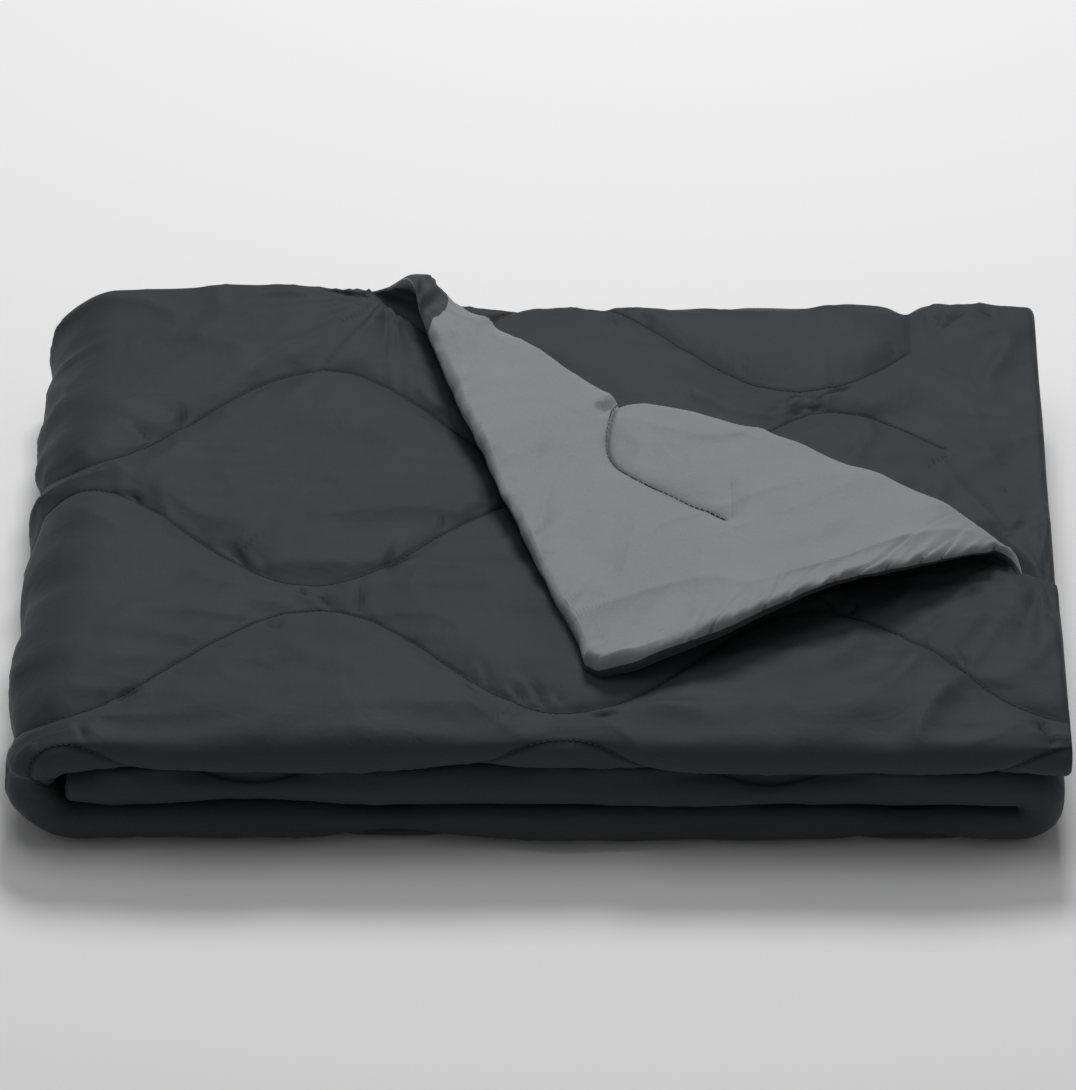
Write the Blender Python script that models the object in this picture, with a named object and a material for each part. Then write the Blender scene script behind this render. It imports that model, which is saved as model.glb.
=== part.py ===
"""A heated quilted blanket, folded for storage, in metres, +Z up, front at -Y.

The blanket is a sandwich of five sheets: dark face cloth, wadding, heat
reflector, heater felt with its wire, and grey lining.  It is folded in thirds
front to back, like a letter, into a strip of three plies, and the strip is
folded in thirds again from side to side: base, middle and top leaf.  The top
leaf's back right corner is turned back, so that the lining shows.

A ply's sheets are placed by their depth below the face.  A strip's section is
drawn in (y, n), n being the height above the strip's inner side, and is swept
along the strip through stations, each of which places (y, n) in space.
"""

import math

import bmesh
import bpy
from mathutils import Matrix, Vector

MM = 0.001

# The folded stack
STACK_WIDTH = 600 * MM
STACK_DEPTH = 450 * MM

# Sheets of one ply, from the face inwards
CLOTH = 0.6 * MM
WADDING = 3.5 * MM
REFLECTOR = 0.4 * MM
FELT = 0.8 * MM
WIRE_DIAMETER = 1.6 * MM
SHEET_GAP = 0.3 * MM

# Room between plies, between leaves, and where a fold's pieces meet
PLY_GAP = 0.6 * MM
LEAF_GAP = 0.6 * MM
SEAM_GAP = 0.3 * MM

# Hems: the turned-in edge at each end of the strip
HEM_WIDTH = 4.0 * MM

# Corner turned back: where its fold meets the back hem and the right hem
TURN_FROM_LEFT = 180 * MM
TURN_FROM_FRONT = 135 * MM
TURN_LOFT = 14 * MM
TIP_CLEARANCE = 1.2 * MM
ROLL_TRIM = 2 * MM

# Quilting: rows of waves, every second row reversed
WAVE_LENGTH = 292 * MM
WAVE_HEIGHT = 48 * MM
WAVE_PITCH = 119 * MM
WAVE_CREST_X = -130 * MM
FIRST_ROW_FROM_BACK = 137 * MM
ROWS = 3
TUCKED_CREST_X = 162 * MM
TUCKED_ROW_FROM_BACK = 158 * MM
FLAP_CREST_ALONG = 290 * MM
FLAP_ROW_REACH = 27 * MM
FLAP_ROW_LENGTH = 130 * MM
THREAD_DIAMETER = 0.5 * MM

# Heating wire: runs along the strip, on the two plies away from the hem
RUN_PITCH = 72 * MM
FIRST_RUN = 33 * MM
RUN_END_MARGIN = 26 * MM
TURN_RADIUS = 16 * MM

# Safety devices lying beside the wire
DEVICE_THICK = 1.4 * MM
CUTOUT_RADIUS = 7 * MM
SENSOR_RADIUS = 3.5 * MM

# Power inlet on the middle leaf's hem
INLET_FROM_LEFT = 140 * MM
INLET_PROUD = 16 * MM
INLET_TAB_DEPTH = 18 * MM
INLET_TAB_WIDTH = 28 * MM
INLET_WIDTH = 36 * MM
INLET_HEIGHT = 10 * MM
SOCKET_WIDTH = 24 * MM
SOCKET_HEIGHT = 5.5 * MM
SOCKET_DEPTH = 12 * MM
CONTACT_RADIUS = 1.4 * MM
CONTACT_THICK = 0.8 * MM
CONTACT_SPACING = 11 * MM
GROMMET_LENGTH = 8 * MM
GROMMET_RADIUS = 2.6 * MM

ARC_STEPS = 6
FOLD_STEPS = 6

# Depths of each sheet below the face
FACE_IN = CLOTH
WADDING_OUT = FACE_IN + SHEET_GAP
WADDING_IN = WADDING_OUT + WADDING
REFLECTOR_OUT = WADDING_IN + SHEET_GAP
REFLECTOR_IN = REFLECTOR_OUT + REFLECTOR
FELT_OUT = REFLECTOR_IN + SHEET_GAP
FELT_IN = FELT_OUT + FELT
WIRE_DEPTH = FELT_IN + SHEET_GAP + WIRE_DIAMETER / 2
LINING_OUT = WIRE_DEPTH + WIRE_DIAMETER / 2 + SHEET_GAP
PLY = LINING_OUT + CLOTH
FILL_IN = LINING_OUT - SHEET_GAP

SHEETS = {
    "face_cloth": (0.0, FACE_IN),
    "wadding": (WADDING_OUT, WADDING_IN),
    "reflector": (REFLECTOR_OUT, REFLECTOR_IN),
    "heater_felt": (FELT_OUT, FELT_IN),
    "lining": (LINING_OUT, PLY),
}

# Heights
STRIP = 3 * PLY + 2 * PLY_GAP
LEAF_PITCH = STRIP + LEAF_GAP
STACK_HEIGHT = 3 * STRIP + 2 * LEAF_GAP
TOP_LEAF_Z = 2 * LEAF_PITCH

# Plan: the inlet stands behind the hem, and the origin is the middle of it all
HEM_Y = (STACK_DEPTH - INLET_PROUD) / 2
FRONT_Y = HEM_Y - STACK_DEPTH
RIGHT_X = STACK_WIDTH / 2
FRONT_FOLD_Y = FRONT_Y + STRIP / 2
BACK_FOLD_R = PLY + PLY_GAP / 2
BACK_FOLD_Y = HEM_Y - BACK_FOLD_R
TUCK_Y = FRONT_FOLD_Y + PLY_GAP

# Left fold, which the top leaf turns about, and right fold
HINGE_Z = STACK_HEIGHT / 2
HINGE_X = -RIGHT_X + HINGE_Z + SEAM_GAP / 2
LEFT_FOLD_INNER_R = HINGE_Z - STRIP
RIGHT_FOLD_INNER_R = LEAF_GAP / 2
RIGHT_FOLD_X = RIGHT_X - STRIP - RIGHT_FOLD_INNER_R
RIGHT_FOLD_Z = STRIP + RIGHT_FOLD_INNER_R
BASE_END_X = HINGE_X + SEAM_GAP / 2
MIDDLE_END_X = HINGE_X + 2 * MM

# Corner turned back, in plan: along the fold, and outwards to the corner
TURN_START = Vector((-RIGHT_X + TURN_FROM_LEFT, HEM_Y))
TURN_END = Vector((RIGHT_X, FRONT_Y + TURN_FROM_FRONT))
TURN_LENGTH = (TURN_END - TURN_START).length
ALONG = (TURN_END - TURN_START).normalized()
OUTWARD = Vector((-ALONG.y, ALONG.x))
CORNER = Vector((RIGHT_X, HEM_Y))
CORNER_ALONG = (CORNER - TURN_START).dot(ALONG)
CORNER_OUT = (CORNER - TURN_START).dot(OUTWARD)
TURN_INNER_R = TURN_LOFT / 2
TURN_AXIS_Z = STACK_HEIGHT + TURN_INNER_R
ROLL_LENGTH = math.pi * (TURN_INNER_R + PLY / 2)
FLAP_REACH = CORNER_OUT - ROLL_LENGTH
FLAP_TILT = math.asin((TURN_LOFT - TIP_CLEARANCE) / FLAP_REACH)

CLOTH_DARK = ("face_cloth", (0.045, 0.052, 0.057), 0.72, 0.0)
CLOTH_GREY = ("lining", (0.27, 0.28, 0.285), 0.68, 0.0)
WADDING_WHITE = ("wadding", (0.85, 0.85, 0.83), 0.95, 0.0)
FOIL = ("reflector", (0.75, 0.75, 0.76), 0.3, 0.9)
FELT_BEIGE = ("heater_felt", (0.55, 0.50, 0.42), 0.95, 0.0)
CARBON = ("heating_wire", (0.10, 0.09, 0.09), 0.5, 0.0)
THREAD_DARK = ("thread", (0.02, 0.023, 0.026), 0.7, 0.0)
PLASTIC = ("black_plastic", (0.02, 0.02, 0.022), 0.45, 0.0)
BRASS = ("contact_metal", (0.75, 0.6, 0.3), 0.3, 1.0)

SHEET_FINISH = {
    "face_cloth": CLOTH_DARK,
    "wadding": WADDING_WHITE,
    "reflector": FOIL,
    "heater_felt": FELT_BEIGE,
    "lining": CLOTH_GREY,
}


# ---------------------------------------------------------------- scene tools

def clear_scene():
    for old in list(bpy.data.objects):
        bpy.data.objects.remove(old)


def material(finish):
    name, colour, roughness, metallic = finish
    found = bpy.data.materials.get(name)
    if found:
        return found
    made = bpy.data.materials.new(name)
    made.use_nodes = True
    shader = made.node_tree.nodes["Principled BSDF"]
    shader.inputs["Base Color"].default_value = (*colour, 1.0)
    shader.inputs["Roughness"].default_value = roughness
    shader.inputs["Metallic"].default_value = metallic
    return made


def link(name, data, finish, parent=None):
    obj = bpy.data.objects.new(name, data)
    bpy.context.scene.collection.objects.link(obj)
    data.materials.append(material(finish))
    if parent:
        obj.parent = parent
        obj.matrix_parent_inverse = parent.matrix_world.inverted()
    return obj


def pivot(name, place):
    empty = bpy.data.objects.new(name, None)
    empty.location = place
    bpy.context.scene.collection.objects.link(empty)
    bpy.context.view_layer.update()
    return empty


def mesh_of(name, points, faces):
    """A mesh with its faces pointing out."""
    mesh = bpy.data.meshes.new(name)
    mesh.from_pydata([tuple(p) for p in points], [], faces)
    bm = bmesh.new()
    bm.from_mesh(mesh)
    bmesh.ops.recalc_face_normals(bm, faces=bm.faces)
    bm.to_mesh(mesh)
    bm.free()
    return mesh


def swept(name, outline, stations):
    """A closed outline carried through stations, each of them a function (y, n) -> point."""
    count = len(outline)
    points = [station(y, n) for station in stations for y, n in outline]
    faces = [tuple(range(count)), tuple(range((len(stations) - 1) * count, len(points)))]
    for row in range(len(stations) - 1):
        for i in range(count):
            j = (i + 1) % count
            a, b = row * count + i, row * count + j
            faces.append((a, b, b + count, a + count))
    return mesh_of(name, points, faces)


def prism(name, outline, low, high):
    """A plan outline standing from one height to another."""
    return swept(name, outline, [lambda x, y, z=z: Vector((x, y, z)) for z in (low, high)])


def box_mesh(name, centre, size):
    x, y = size[0] / 2, size[1] / 2
    outline = [(centre[0] + i * x, centre[1] + j * y) for i, j in ((-1, -1), (1, -1), (1, 1), (-1, 1))]
    return prism(name, outline, centre[2] - size[2] / 2, centre[2] + size[2] / 2)


def disc_mesh(name, centre, radius, thick, steps=20):
    turns = [2 * math.pi * k / steps for k in range(steps)]
    outline = [(centre[0] + radius * math.cos(t), centre[1] + radius * math.sin(t)) for t in turns]
    return prism(name, outline, centre[2] - thick / 2, centre[2] + thick / 2)


def cut(obj, name, mesh):
    """Takes a hidden cutter's shape out of an object."""
    cutter = bpy.data.objects.new(name, mesh)
    cutter.hide_render = True
    cutter.display_type = "WIRE"
    bpy.context.scene.collection.objects.link(cutter)
    boolean = obj.modifiers.new(name, "BOOLEAN")
    boolean.operation = "DIFFERENCE"
    boolean.object = cutter


def tube(name, points, diameter, finish, resolution=1, parent=None):
    curve = bpy.data.curves.new(name, "CURVE")
    curve.dimensions = "3D"
    curve.bevel_depth = diameter / 2
    curve.bevel_resolution = resolution
    curve.use_fill_caps = True
    spline = curve.splines.new("POLY")
    spline.points.add(len(points) - 1)
    for spot, place in zip(spline.points, points):
        spot.co = (*place, 1.0)
    return link(name, curve, finish, parent)


# ------------------------------------------------------- section of the strip

def arc(centre, radius, start, end, steps=ARC_STEPS):
    """Points on an arc in (y, n), its ends included, angles in degrees."""
    turns = [math.radians(start + (end - start) * k / steps) for k in range(steps + 1)]
    return [(centre[0] + radius * math.cos(t), centre[1] + radius * math.sin(t)) for t in turns]


def letter_fold(depth, hem_inset=0.0):
    """The line a sheet at this depth follows: hem, front fold, back fold, tucked hem."""
    line = [(HEM_Y - hem_inset, STRIP - depth)]
    line += arc((FRONT_FOLD_Y, STRIP / 2), STRIP / 2 - depth, 90, 270)
    line += arc((BACK_FOLD_Y, BACK_FOLD_R), BACK_FOLD_R - depth, -90, 90)
    line.append((TUCK_Y + hem_inset, 2 * BACK_FOLD_R - depth))
    return line


def band(outer, inner, hem_inset=0.0):
    """The section of a sheet between two depths."""
    return letter_fold(outer, hem_inset) + letter_fold(inner, hem_inset)[::-1]


def face_section():
    """The face cloth's section, turned in over the ply's edge at both hems."""
    outer, inner = letter_fold(0.0), letter_fold(FACE_IN, FACE_IN)
    tucked_top = 2 * BACK_FOLD_R
    tucked = [(TUCK_Y, tucked_top - FILL_IN), (TUCK_Y + FACE_IN, tucked_top - FILL_IN)]
    hem = [(HEM_Y - FACE_IN, STRIP - FILL_IN), (HEM_Y, STRIP - FILL_IN)]
    return outer + tucked + inner[::-1] + hem


def sheet_section(sheet):
    if sheet == "face_cloth":
        return face_section()
    hem_inset = 0.0 if sheet == "lining" else FACE_IN + SHEET_GAP
    return band(*SHEETS[sheet], hem_inset)


def end_inset(sheet):
    """How far a sheet stops before the strip's own end, where the hem is turned in."""
    return 0.0 if sheet in ("face_cloth", "lining") else HEM_WIDTH + SHEET_GAP


# ------------------------------------------------------------------- stations

def flat(x, z, up=True):
    """A station across a leaf whose inner side is at height z."""
    side = 1 if up else -1
    return lambda y, n: Vector((x, y, z + side * n))


def around(x, z, inner_radius, turn):
    """A station across a side fold, turned about the fold's centre; 0 points to +X."""
    c, s = math.cos(turn), math.sin(turn)
    return lambda y, n: Vector((x + (inner_radius + n) * c, y, z + (inner_radius + n) * s))


def fold_turns(start, end):
    return [math.radians(start + (end - start) * k / FOLD_STEPS) for k in range(FOLD_STEPS + 1)]


def base_stations(inset=0.0):
    """Base leaf, right fold and middle leaf, in one run."""
    right = [around(RIGHT_FOLD_X, RIGHT_FOLD_Z, RIGHT_FOLD_INNER_R, t) for t in fold_turns(-90, 90)]
    return [flat(BASE_END_X, STRIP, up=False), *right, flat(MIDDLE_END_X + inset, LEAF_PITCH)]


def left_fold_stations():
    x = HINGE_X - SEAM_GAP / 2
    return [around(x, HINGE_Z, LEFT_FOLD_INNER_R, t) for t in fold_turns(90, 270)]


def top_stations(inset=0.0):
    return [flat(BASE_END_X, TOP_LEAF_Z), flat(RIGHT_X - inset, TOP_LEAF_Z)]


# ------------------------------------------------------------ leaves and folds

def corner_cutter():
    """The turned-back corner's own outline, through the top ply only."""
    start = TURN_START - OUTWARD * SEAM_GAP / 2 - ALONG * STACK_DEPTH
    end = TURN_END - OUTWARD * SEAM_GAP / 2 + ALONG * STACK_DEPTH
    away = OUTWARD * STACK_WIDTH
    low = STACK_HEIGHT - PLY - PLY_GAP / 2
    return prism("corner_cutter", [start, end, end + away, start + away], low, STACK_HEIGHT + PLY)


def inlet_cutter():
    """Room for the inlet's tab in the middle leaf's hem."""
    centre = (inlet_x(), HEM_Y, inlet_z())
    size = (
        INLET_TAB_WIDTH + 2 * SHEET_GAP,
        2 * (INLET_TAB_DEPTH + GROMMET_LENGTH + 2 * SHEET_GAP),
        FILL_IN - WADDING_OUT + SHEET_GAP,
    )
    return box_mesh("inlet_cutter", centre, size)


def build_leaves():
    for sheet, finish in SHEET_FINISH.items():
        outline, inset = sheet_section(sheet), end_inset(sheet)
        base = link(f"base_{sheet}", swept(f"base_{sheet}", outline, base_stations(inset)), finish)
        if sheet != "lining":
            cut(base, "inlet_room", inlet_cutter())
        link(f"left_fold_{sheet}", swept(f"left_fold_{sheet}", outline, left_fold_stations()), finish)
        top = link(f"top_{sheet}", swept(f"top_{sheet}", outline, top_stations(inset)), finish, TOP_PIVOT)
        cut(top, "corner", corner_cutter())


def build_end_hems():
    """The turned-in edges that close the strip's two ends."""
    outline = band(WADDING_OUT, FILL_IN, FACE_IN + SHEET_GAP)
    middle = [flat(x, LEAF_PITCH) for x in (MIDDLE_END_X, MIDDLE_END_X + HEM_WIDTH)]
    link("middle_end_hem", swept("middle_end_hem", outline, middle), CLOTH_DARK)
    top = [flat(x, TOP_LEAF_Z) for x in (RIGHT_X - HEM_WIDTH, RIGHT_X)]
    hem = link("top_end_hem", swept("top_end_hem", outline, top), CLOTH_DARK, TOP_PIVOT)
    cut(hem, "corner", corner_cutter())


# ------------------------------------------------------- corner turned back

def turn_place(along, out, z):
    spot = TURN_START + ALONG * along + OUTWARD * out
    return Vector((spot.x, spot.y, z))


def hem_start(out):
    """Where the back hem crosses, along the fold, this far out from it on the unrolled cloth."""
    return CORNER_ALONG * out / CORNER_OUT


def hem_end(out):
    """The same for the right hem."""
    return TURN_LENGTH - (TURN_LENGTH - CORNER_ALONG) * out / CORNER_OUT


def build_roll():
    """The rounded cloth of the corner's fold, with its ends along the hems."""
    last = math.pi + FLAP_TILT
    turns = [last * k / FOLD_STEPS for k in range(FOLD_STEPS + 1)]
    for sheet, finish in SHEET_FINISH.items():
        outer, inner = (TURN_INNER_R + d for d in SHEETS[sheet])
        corners = [(0, outer), (0, inner), (1, inner), (1, outer)]

        def station(turn):
            out = ROLL_LENGTH * min(turn / math.pi, 1.0)
            ends = (hem_start(out) + ROLL_TRIM, hem_end(out) - ROLL_TRIM)

            def place(side, radius):
                z = TURN_AXIS_Z - radius * math.cos(turn)
                return turn_place(ends[side], SEAM_GAP / 2 + radius * math.sin(turn), z)

            return place

        name = f"turn_roll_{sheet}"
        link(name, swept(name, corners, [station(t) for t in turns]), finish, TOP_PIVOT)


def offset_line(start, end, inset):
    """Two points moved to the right of the way from start to end."""
    way = (end - start).normalized()
    side = Vector((way.y, -way.x)) * inset
    return start + side, end + side


def crossing(a, b, c, d):
    """Where line ab meets line cd, in the plane."""
    r, s = b - a, d - c
    t = ((c - a).x * s.y - (c - a).y * s.x) / (r.x * s.y - r.y * s.x)
    return a + r * t


def flap_outline(inset):
    """The corner's (along, reach) outline, moved in from its two hems."""
    near_start = Vector((hem_start(ROLL_LENGTH), 0.0))
    near_end = Vector((hem_end(ROLL_LENGTH), 0.0))
    tip = Vector((CORNER_ALONG, FLAP_REACH))
    left = offset_line(near_start, tip, inset)
    right = offset_line(tip, near_end, inset)
    near = (Vector((0.0, SEAM_GAP / 2)), Vector((1.0, SEAM_GAP / 2)))
    return [crossing(*near, *left), crossing(*left, *right), crossing(*near, *right)]


def on_flap(along, reach, radius):
    """A point of the flap, tilted about the fold's axis until its tip nears the top leaf."""
    c, s = math.cos(FLAP_TILT), math.sin(FLAP_TILT)
    return turn_place(along, -(reach * c + radius * s), TURN_AXIS_Z + radius * c - reach * s)


def flap_plate(name, outline, depths, finish):
    stations = [lambda a, b, r=TURN_INNER_R + d: on_flap(a, b, r) for d in depths]
    return link(name, swept(name, outline, stations), finish, FLAP_PIVOT)


def build_flap():
    for sheet, finish in SHEET_FINISH.items():
        flap_plate(f"flap_{sheet}", flap_outline(end_inset(sheet)), SHEETS[sheet], finish)
    outer, inner = flap_outline(0.0), flap_outline(HEM_WIDTH)
    flap_plate("flap_hem", outer + inner[::-1], (WADDING_OUT, FILL_IN), CLOTH_GREY)


# ------------------------------------------------------------------- quilting

def wave(x, middle, crest_x, side):
    """How far back a quilting row is at x, in plan; side is -1 for a reversed row."""
    return middle + side * WAVE_HEIGHT * math.cos(2 * math.pi * (x - crest_x) / WAVE_LENGTH)


def longest_run(row_at, low, high, surface, keep):
    """The longest stretch of a row, lying just above a surface, whose points are all kept."""
    step = WAVE_LENGTH / 24
    best, run = [], []
    for k in range(int((high - low) / step) + 1):
        x = low + k * step
        spot = Vector((x, row_at(x)))
        run = run + [(*spot, surface + SHEET_GAP + THREAD_DIAMETER / 2)] if keep(spot) else []
        best = max(best, run, key=len)
    return best


def out_from_fold(spot):
    return (spot - TURN_START).dot(OUTWARD)


def build_top_threads():
    """Thread on the top leaf's face, clear of the turned-back corner's fold."""
    low, high = BASE_END_X + 2 * THREAD_DIAMETER, RIGHT_X - HEM_WIDTH
    for row in range(ROWS):
        middle = HEM_Y - FIRST_ROW_FROM_BACK - row * WAVE_PITCH
        line = longest_run(
            lambda x: wave(x, middle, WAVE_CREST_X, (-1) ** row),
            low, high, STACK_HEIGHT,
            lambda spot: out_from_fold(spot) < -TURN_RADIUS and spot.y > FRONT_FOLD_Y,
        )
        tube(f"quilting_thread_{row + 1}", line, THREAD_DIAMETER, THREAD_DARK, 0, TOP_PIVOT)
    middle = HEM_Y - TUCKED_ROW_FROM_BACK
    line = longest_run(
        lambda x: wave(x, middle, TUCKED_CREST_X, 1),
        low, high, TOP_LEAF_Z + 2 * BACK_FOLD_R,
        lambda spot: out_from_fold(spot) > 2 * TURN_LOFT and spot.y < BACK_FOLD_Y,
    )
    tube("tucked_quilting_thread", line, THREAD_DIAMETER, THREAD_DARK, 0, TOP_PIVOT)


def build_flap_thread():
    """Thread of the one row that crosses the turned-back corner, on its lining."""
    radius = TURN_INNER_R + PLY + SHEET_GAP + THREAD_DIAMETER / 2
    line = []
    for k in range(17):
        along = FLAP_CREST_ALONG + (k / 16 - 0.55) * FLAP_ROW_LENGTH
        line.append(on_flap(along, wave(along, FLAP_ROW_REACH, FLAP_CREST_ALONG, 1), radius))
    tube("flap_quilting_thread", line, THREAD_DIAMETER, THREAD_DARK, 0, FLAP_PIVOT)


# -------------------------------------------------------------- heating wires

def strip_line():
    """The wire's own line through the section, from the bottom ply to the tucked ply."""
    return letter_fold(WIRE_DEPTH)[ARC_STEPS + 1:]


def run_offsets():
    """Where the runs lie, measured along the wire's line: an odd number, as many as fit."""
    line = strip_line()
    length = sum(math.dist(a, b) for a, b in zip(line, line[1:]))
    fitting = int((length - 2 * FIRST_RUN) / RUN_PITCH) + 1
    return [FIRST_RUN + k * RUN_PITCH for k in range(fitting - 1 + fitting % 2)]


def on_line(line, distance):
    """(y, n) at a distance along a line of points."""
    for a, b in zip(line, line[1:]):
        length = math.dist(a, b)
        if distance <= length:
            share = distance / length
            return (a[0] + (b[0] - a[0]) * share, a[1] + (b[1] - a[1]) * share)
        distance -= length
    return line[-1]


def turn_offsets(start, end, line):
    """Distances to stop at between two runs: the corners' arcs and the section's own bends."""
    marks, total = [], 0.0
    for a, b in zip(line, line[1:]):
        total += math.dist(a, b)
        marks.append(total)
    return [m for m in marks if start + TURN_RADIUS < m < end - TURN_RADIUS]


def serpentine(start, left, right, end):
    """(x, distance) points of runs between two sides, joined by rounded turns."""
    line, offsets = strip_line(), run_offsets()
    steps = [math.radians(30 * k) for k in range(4)]
    path = [(start, offsets[0])]
    for k, (near, far) in enumerate(zip(offsets, offsets[1:])):
        edge, side = (left, 1) if k % 2 else (right, -1)
        inner = edge + side * TURN_RADIUS
        in_x = [inner - side * TURN_RADIUS * math.sin(t) for t in steps]
        in_s = [near + TURN_RADIUS * (1 - math.cos(t)) for t in steps]
        path += zip(in_x, in_s)
        path += [(edge, mark) for mark in turn_offsets(near, far, line)]
        path += zip(in_x[::-1], [near + far - s for s in in_s[::-1]])
    return path + [(end, offsets[-1])]


def laid(path, station):
    """Points of a wire from its (x, distance) path."""
    line = strip_line()
    return [station(x)(*on_line(line, s)) for x, s in path]


def build_wires():
    """One wire through all three leaves, starting at the inlet in the middle one."""
    offsets = run_offsets()
    near_left, near_right = BASE_END_X + RUN_END_MARGIN, RIGHT_X - RUN_END_MARGIN
    fold_x = RIGHT_FOLD_X - 2 * SHEET_GAP

    path = serpentine(BASE_END_X + SHEET_GAP, near_left, near_right, near_right)
    points = laid(path, lambda x: flat(x, TOP_LEAF_Z))
    tube("top_heating_wire", points, WIRE_DIAMETER, CARBON, 0, TOP_PIVOT)

    path = serpentine(BASE_END_X + SHEET_GAP, near_left, fold_x - RUN_END_MARGIN, fold_x)
    points = laid(path, lambda x: flat(x, STRIP, up=False))
    tube("base_heating_wire", points, WIRE_DIAMETER, CARBON, 0)

    lead_x = inlet_x()
    lead = [(HEM_Y - INLET_TAB_DEPTH - GROMMET_LENGTH - 2 * SHEET_GAP, STRIP - WIRE_DEPTH)]
    lead += letter_fold(WIRE_DEPTH)[1:ARC_STEPS + 2]
    points = [flat(lead_x, LEAF_PITCH)(y, n) for y, n in lead]
    path = serpentine(lead_x + TURN_RADIUS, MIDDLE_END_X + RUN_END_MARGIN, fold_x - RUN_END_MARGIN, fold_x)
    path = [(lead_x, offsets[0] - TURN_RADIUS)] + path
    points += laid(path, lambda x: flat(x, LEAF_PITCH))
    tube("middle_heating_wire", points, WIRE_DIAMETER, CARBON, 0)

    y, n = on_line(strip_line(), offsets[0])
    x = HINGE_X - SEAM_GAP / 2
    points = [around(x, HINGE_Z, LEFT_FOLD_INNER_R, t)(y, n) for t in fold_turns(90, 270)]
    tube("left_fold_lead_wire", points, WIRE_DIAMETER, CARBON, 0)

    y, n = on_line(strip_line(), offsets[-1])
    points = [around(RIGHT_FOLD_X, RIGHT_FOLD_Z, RIGHT_FOLD_INNER_R, t)(y, n) for t in fold_turns(-90, 90)]
    tube("right_fold_lead_wire", points, WIRE_DIAMETER, CARBON, 0)


def build_devices():
    """Over-heat cut-out and temperature sensor, between the felt and the lining of the base leaf."""
    line, offsets = strip_line(), run_offsets()
    places = {
        "overheat_cutout": (0.0, CUTOUT_RADIUS, 1.5, PLASTIC),
        "temperature_sensor": (WAVE_LENGTH / 4, SENSOR_RADIUS, 1.5, BRASS),
    }
    for name, (x, radius, run, finish) in places.items():
        y, n = on_line(line, offsets[0] + run * RUN_PITCH)
        link(name, disc_mesh(name, (x, y, STRIP - n), radius, DEVICE_THICK), finish)


# --------------------------------------------------------------- power inlet

def inlet_x():
    return -RIGHT_X + INLET_FROM_LEFT


def inlet_z():
    """Middle of the room between the face cloth and the lining of the middle leaf's top ply."""
    return LEAF_PITCH + STRIP - (WADDING_OUT + FILL_IN) / 2


def build_inlet():
    x, z, back = inlet_x(), inlet_z(), HEM_Y + INLET_PROUD
    tab_height = FILL_IN - WADDING_OUT - SHEET_GAP
    front = HEM_Y + 2 * SHEET_GAP
    body_size = (INLET_WIDTH, back - front, INLET_HEIGHT)
    housing = link("inlet_housing", box_mesh("inlet_housing", (x, (front + back) / 2, z), body_size), PLASTIC)
    tab_size = (INLET_TAB_WIDTH, INLET_TAB_DEPTH + 4 * SHEET_GAP, tab_height)
    tab = bpy.data.objects.new("inlet_tab", box_mesh("inlet_tab", (x, HEM_Y - tab_size[1] / 2 + 4 * SHEET_GAP, z), tab_size))
    tab.hide_render = True
    tab.display_type = "WIRE"
    bpy.context.scene.collection.objects.link(tab)
    joined = housing.modifiers.new("tab", "BOOLEAN")
    joined.operation = "UNION"
    joined.object = tab
    socket = (SOCKET_WIDTH, 2 * SOCKET_DEPTH, SOCKET_HEIGHT)
    cut(housing, "socket", box_mesh("socket", (x, back, z), socket))
    floor_y = back - SOCKET_DEPTH
    for side, offset in (("left", -1), ("right", 1)):
        place = Vector((x + offset * CONTACT_SPACING / 2, floor_y + SHEET_GAP + CONTACT_THICK / 2, z))
        mesh = disc_mesh(f"inlet_contact_{side}", (0, 0, 0), CONTACT_RADIUS, CONTACT_THICK, 16)
        mesh.transform(Matrix.Translation(place) @ Matrix.Rotation(math.pi / 2, 4, "X"))
        link(f"inlet_contact_{side}", mesh, BRASS)
    start = HEM_Y - INLET_TAB_DEPTH - SHEET_GAP
    ring = disc_mesh("inlet_grommet", (0, 0, 0), GROMMET_RADIUS, GROMMET_LENGTH, 16)
    place = Vector((x, start - GROMMET_LENGTH / 2, z))
    ring.transform(Matrix.Translation(place) @ Matrix.Rotation(math.pi / 2, 4, "X"))
    link("inlet_grommet", ring, PLASTIC)


# ------------------------------------------------------------------- the part

clear_scene()
TOP_PIVOT = pivot("top_pivot", (HINGE_X, 0.0, HINGE_Z))
FLAP_PIVOT = pivot("flap_pivot", turn_place(TURN_LENGTH / 2, 0.0, TURN_AXIS_Z))
FLAP_PIVOT.parent = TOP_PIVOT
FLAP_PIVOT.matrix_parent_inverse = TOP_PIVOT.matrix_world.inverted()
bpy.context.view_layer.update()
build_leaves()
build_end_hems()
build_roll()
build_flap()
build_top_threads()
build_flap_thread()
build_wires()
build_devices()
build_inlet()
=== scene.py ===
"""Looks of the folded heated blanket, in metres, +Z up, front at -Y.

Each leaf is a letter-folded strip of three plies.  A point of the cloth has a
place along the strip (x) and across it (v, from the back hem round the front
fold and the back fold to the tucked hem), and the quilting, the puffs and the
wrinkles are functions of that place.
"""

import math

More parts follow.
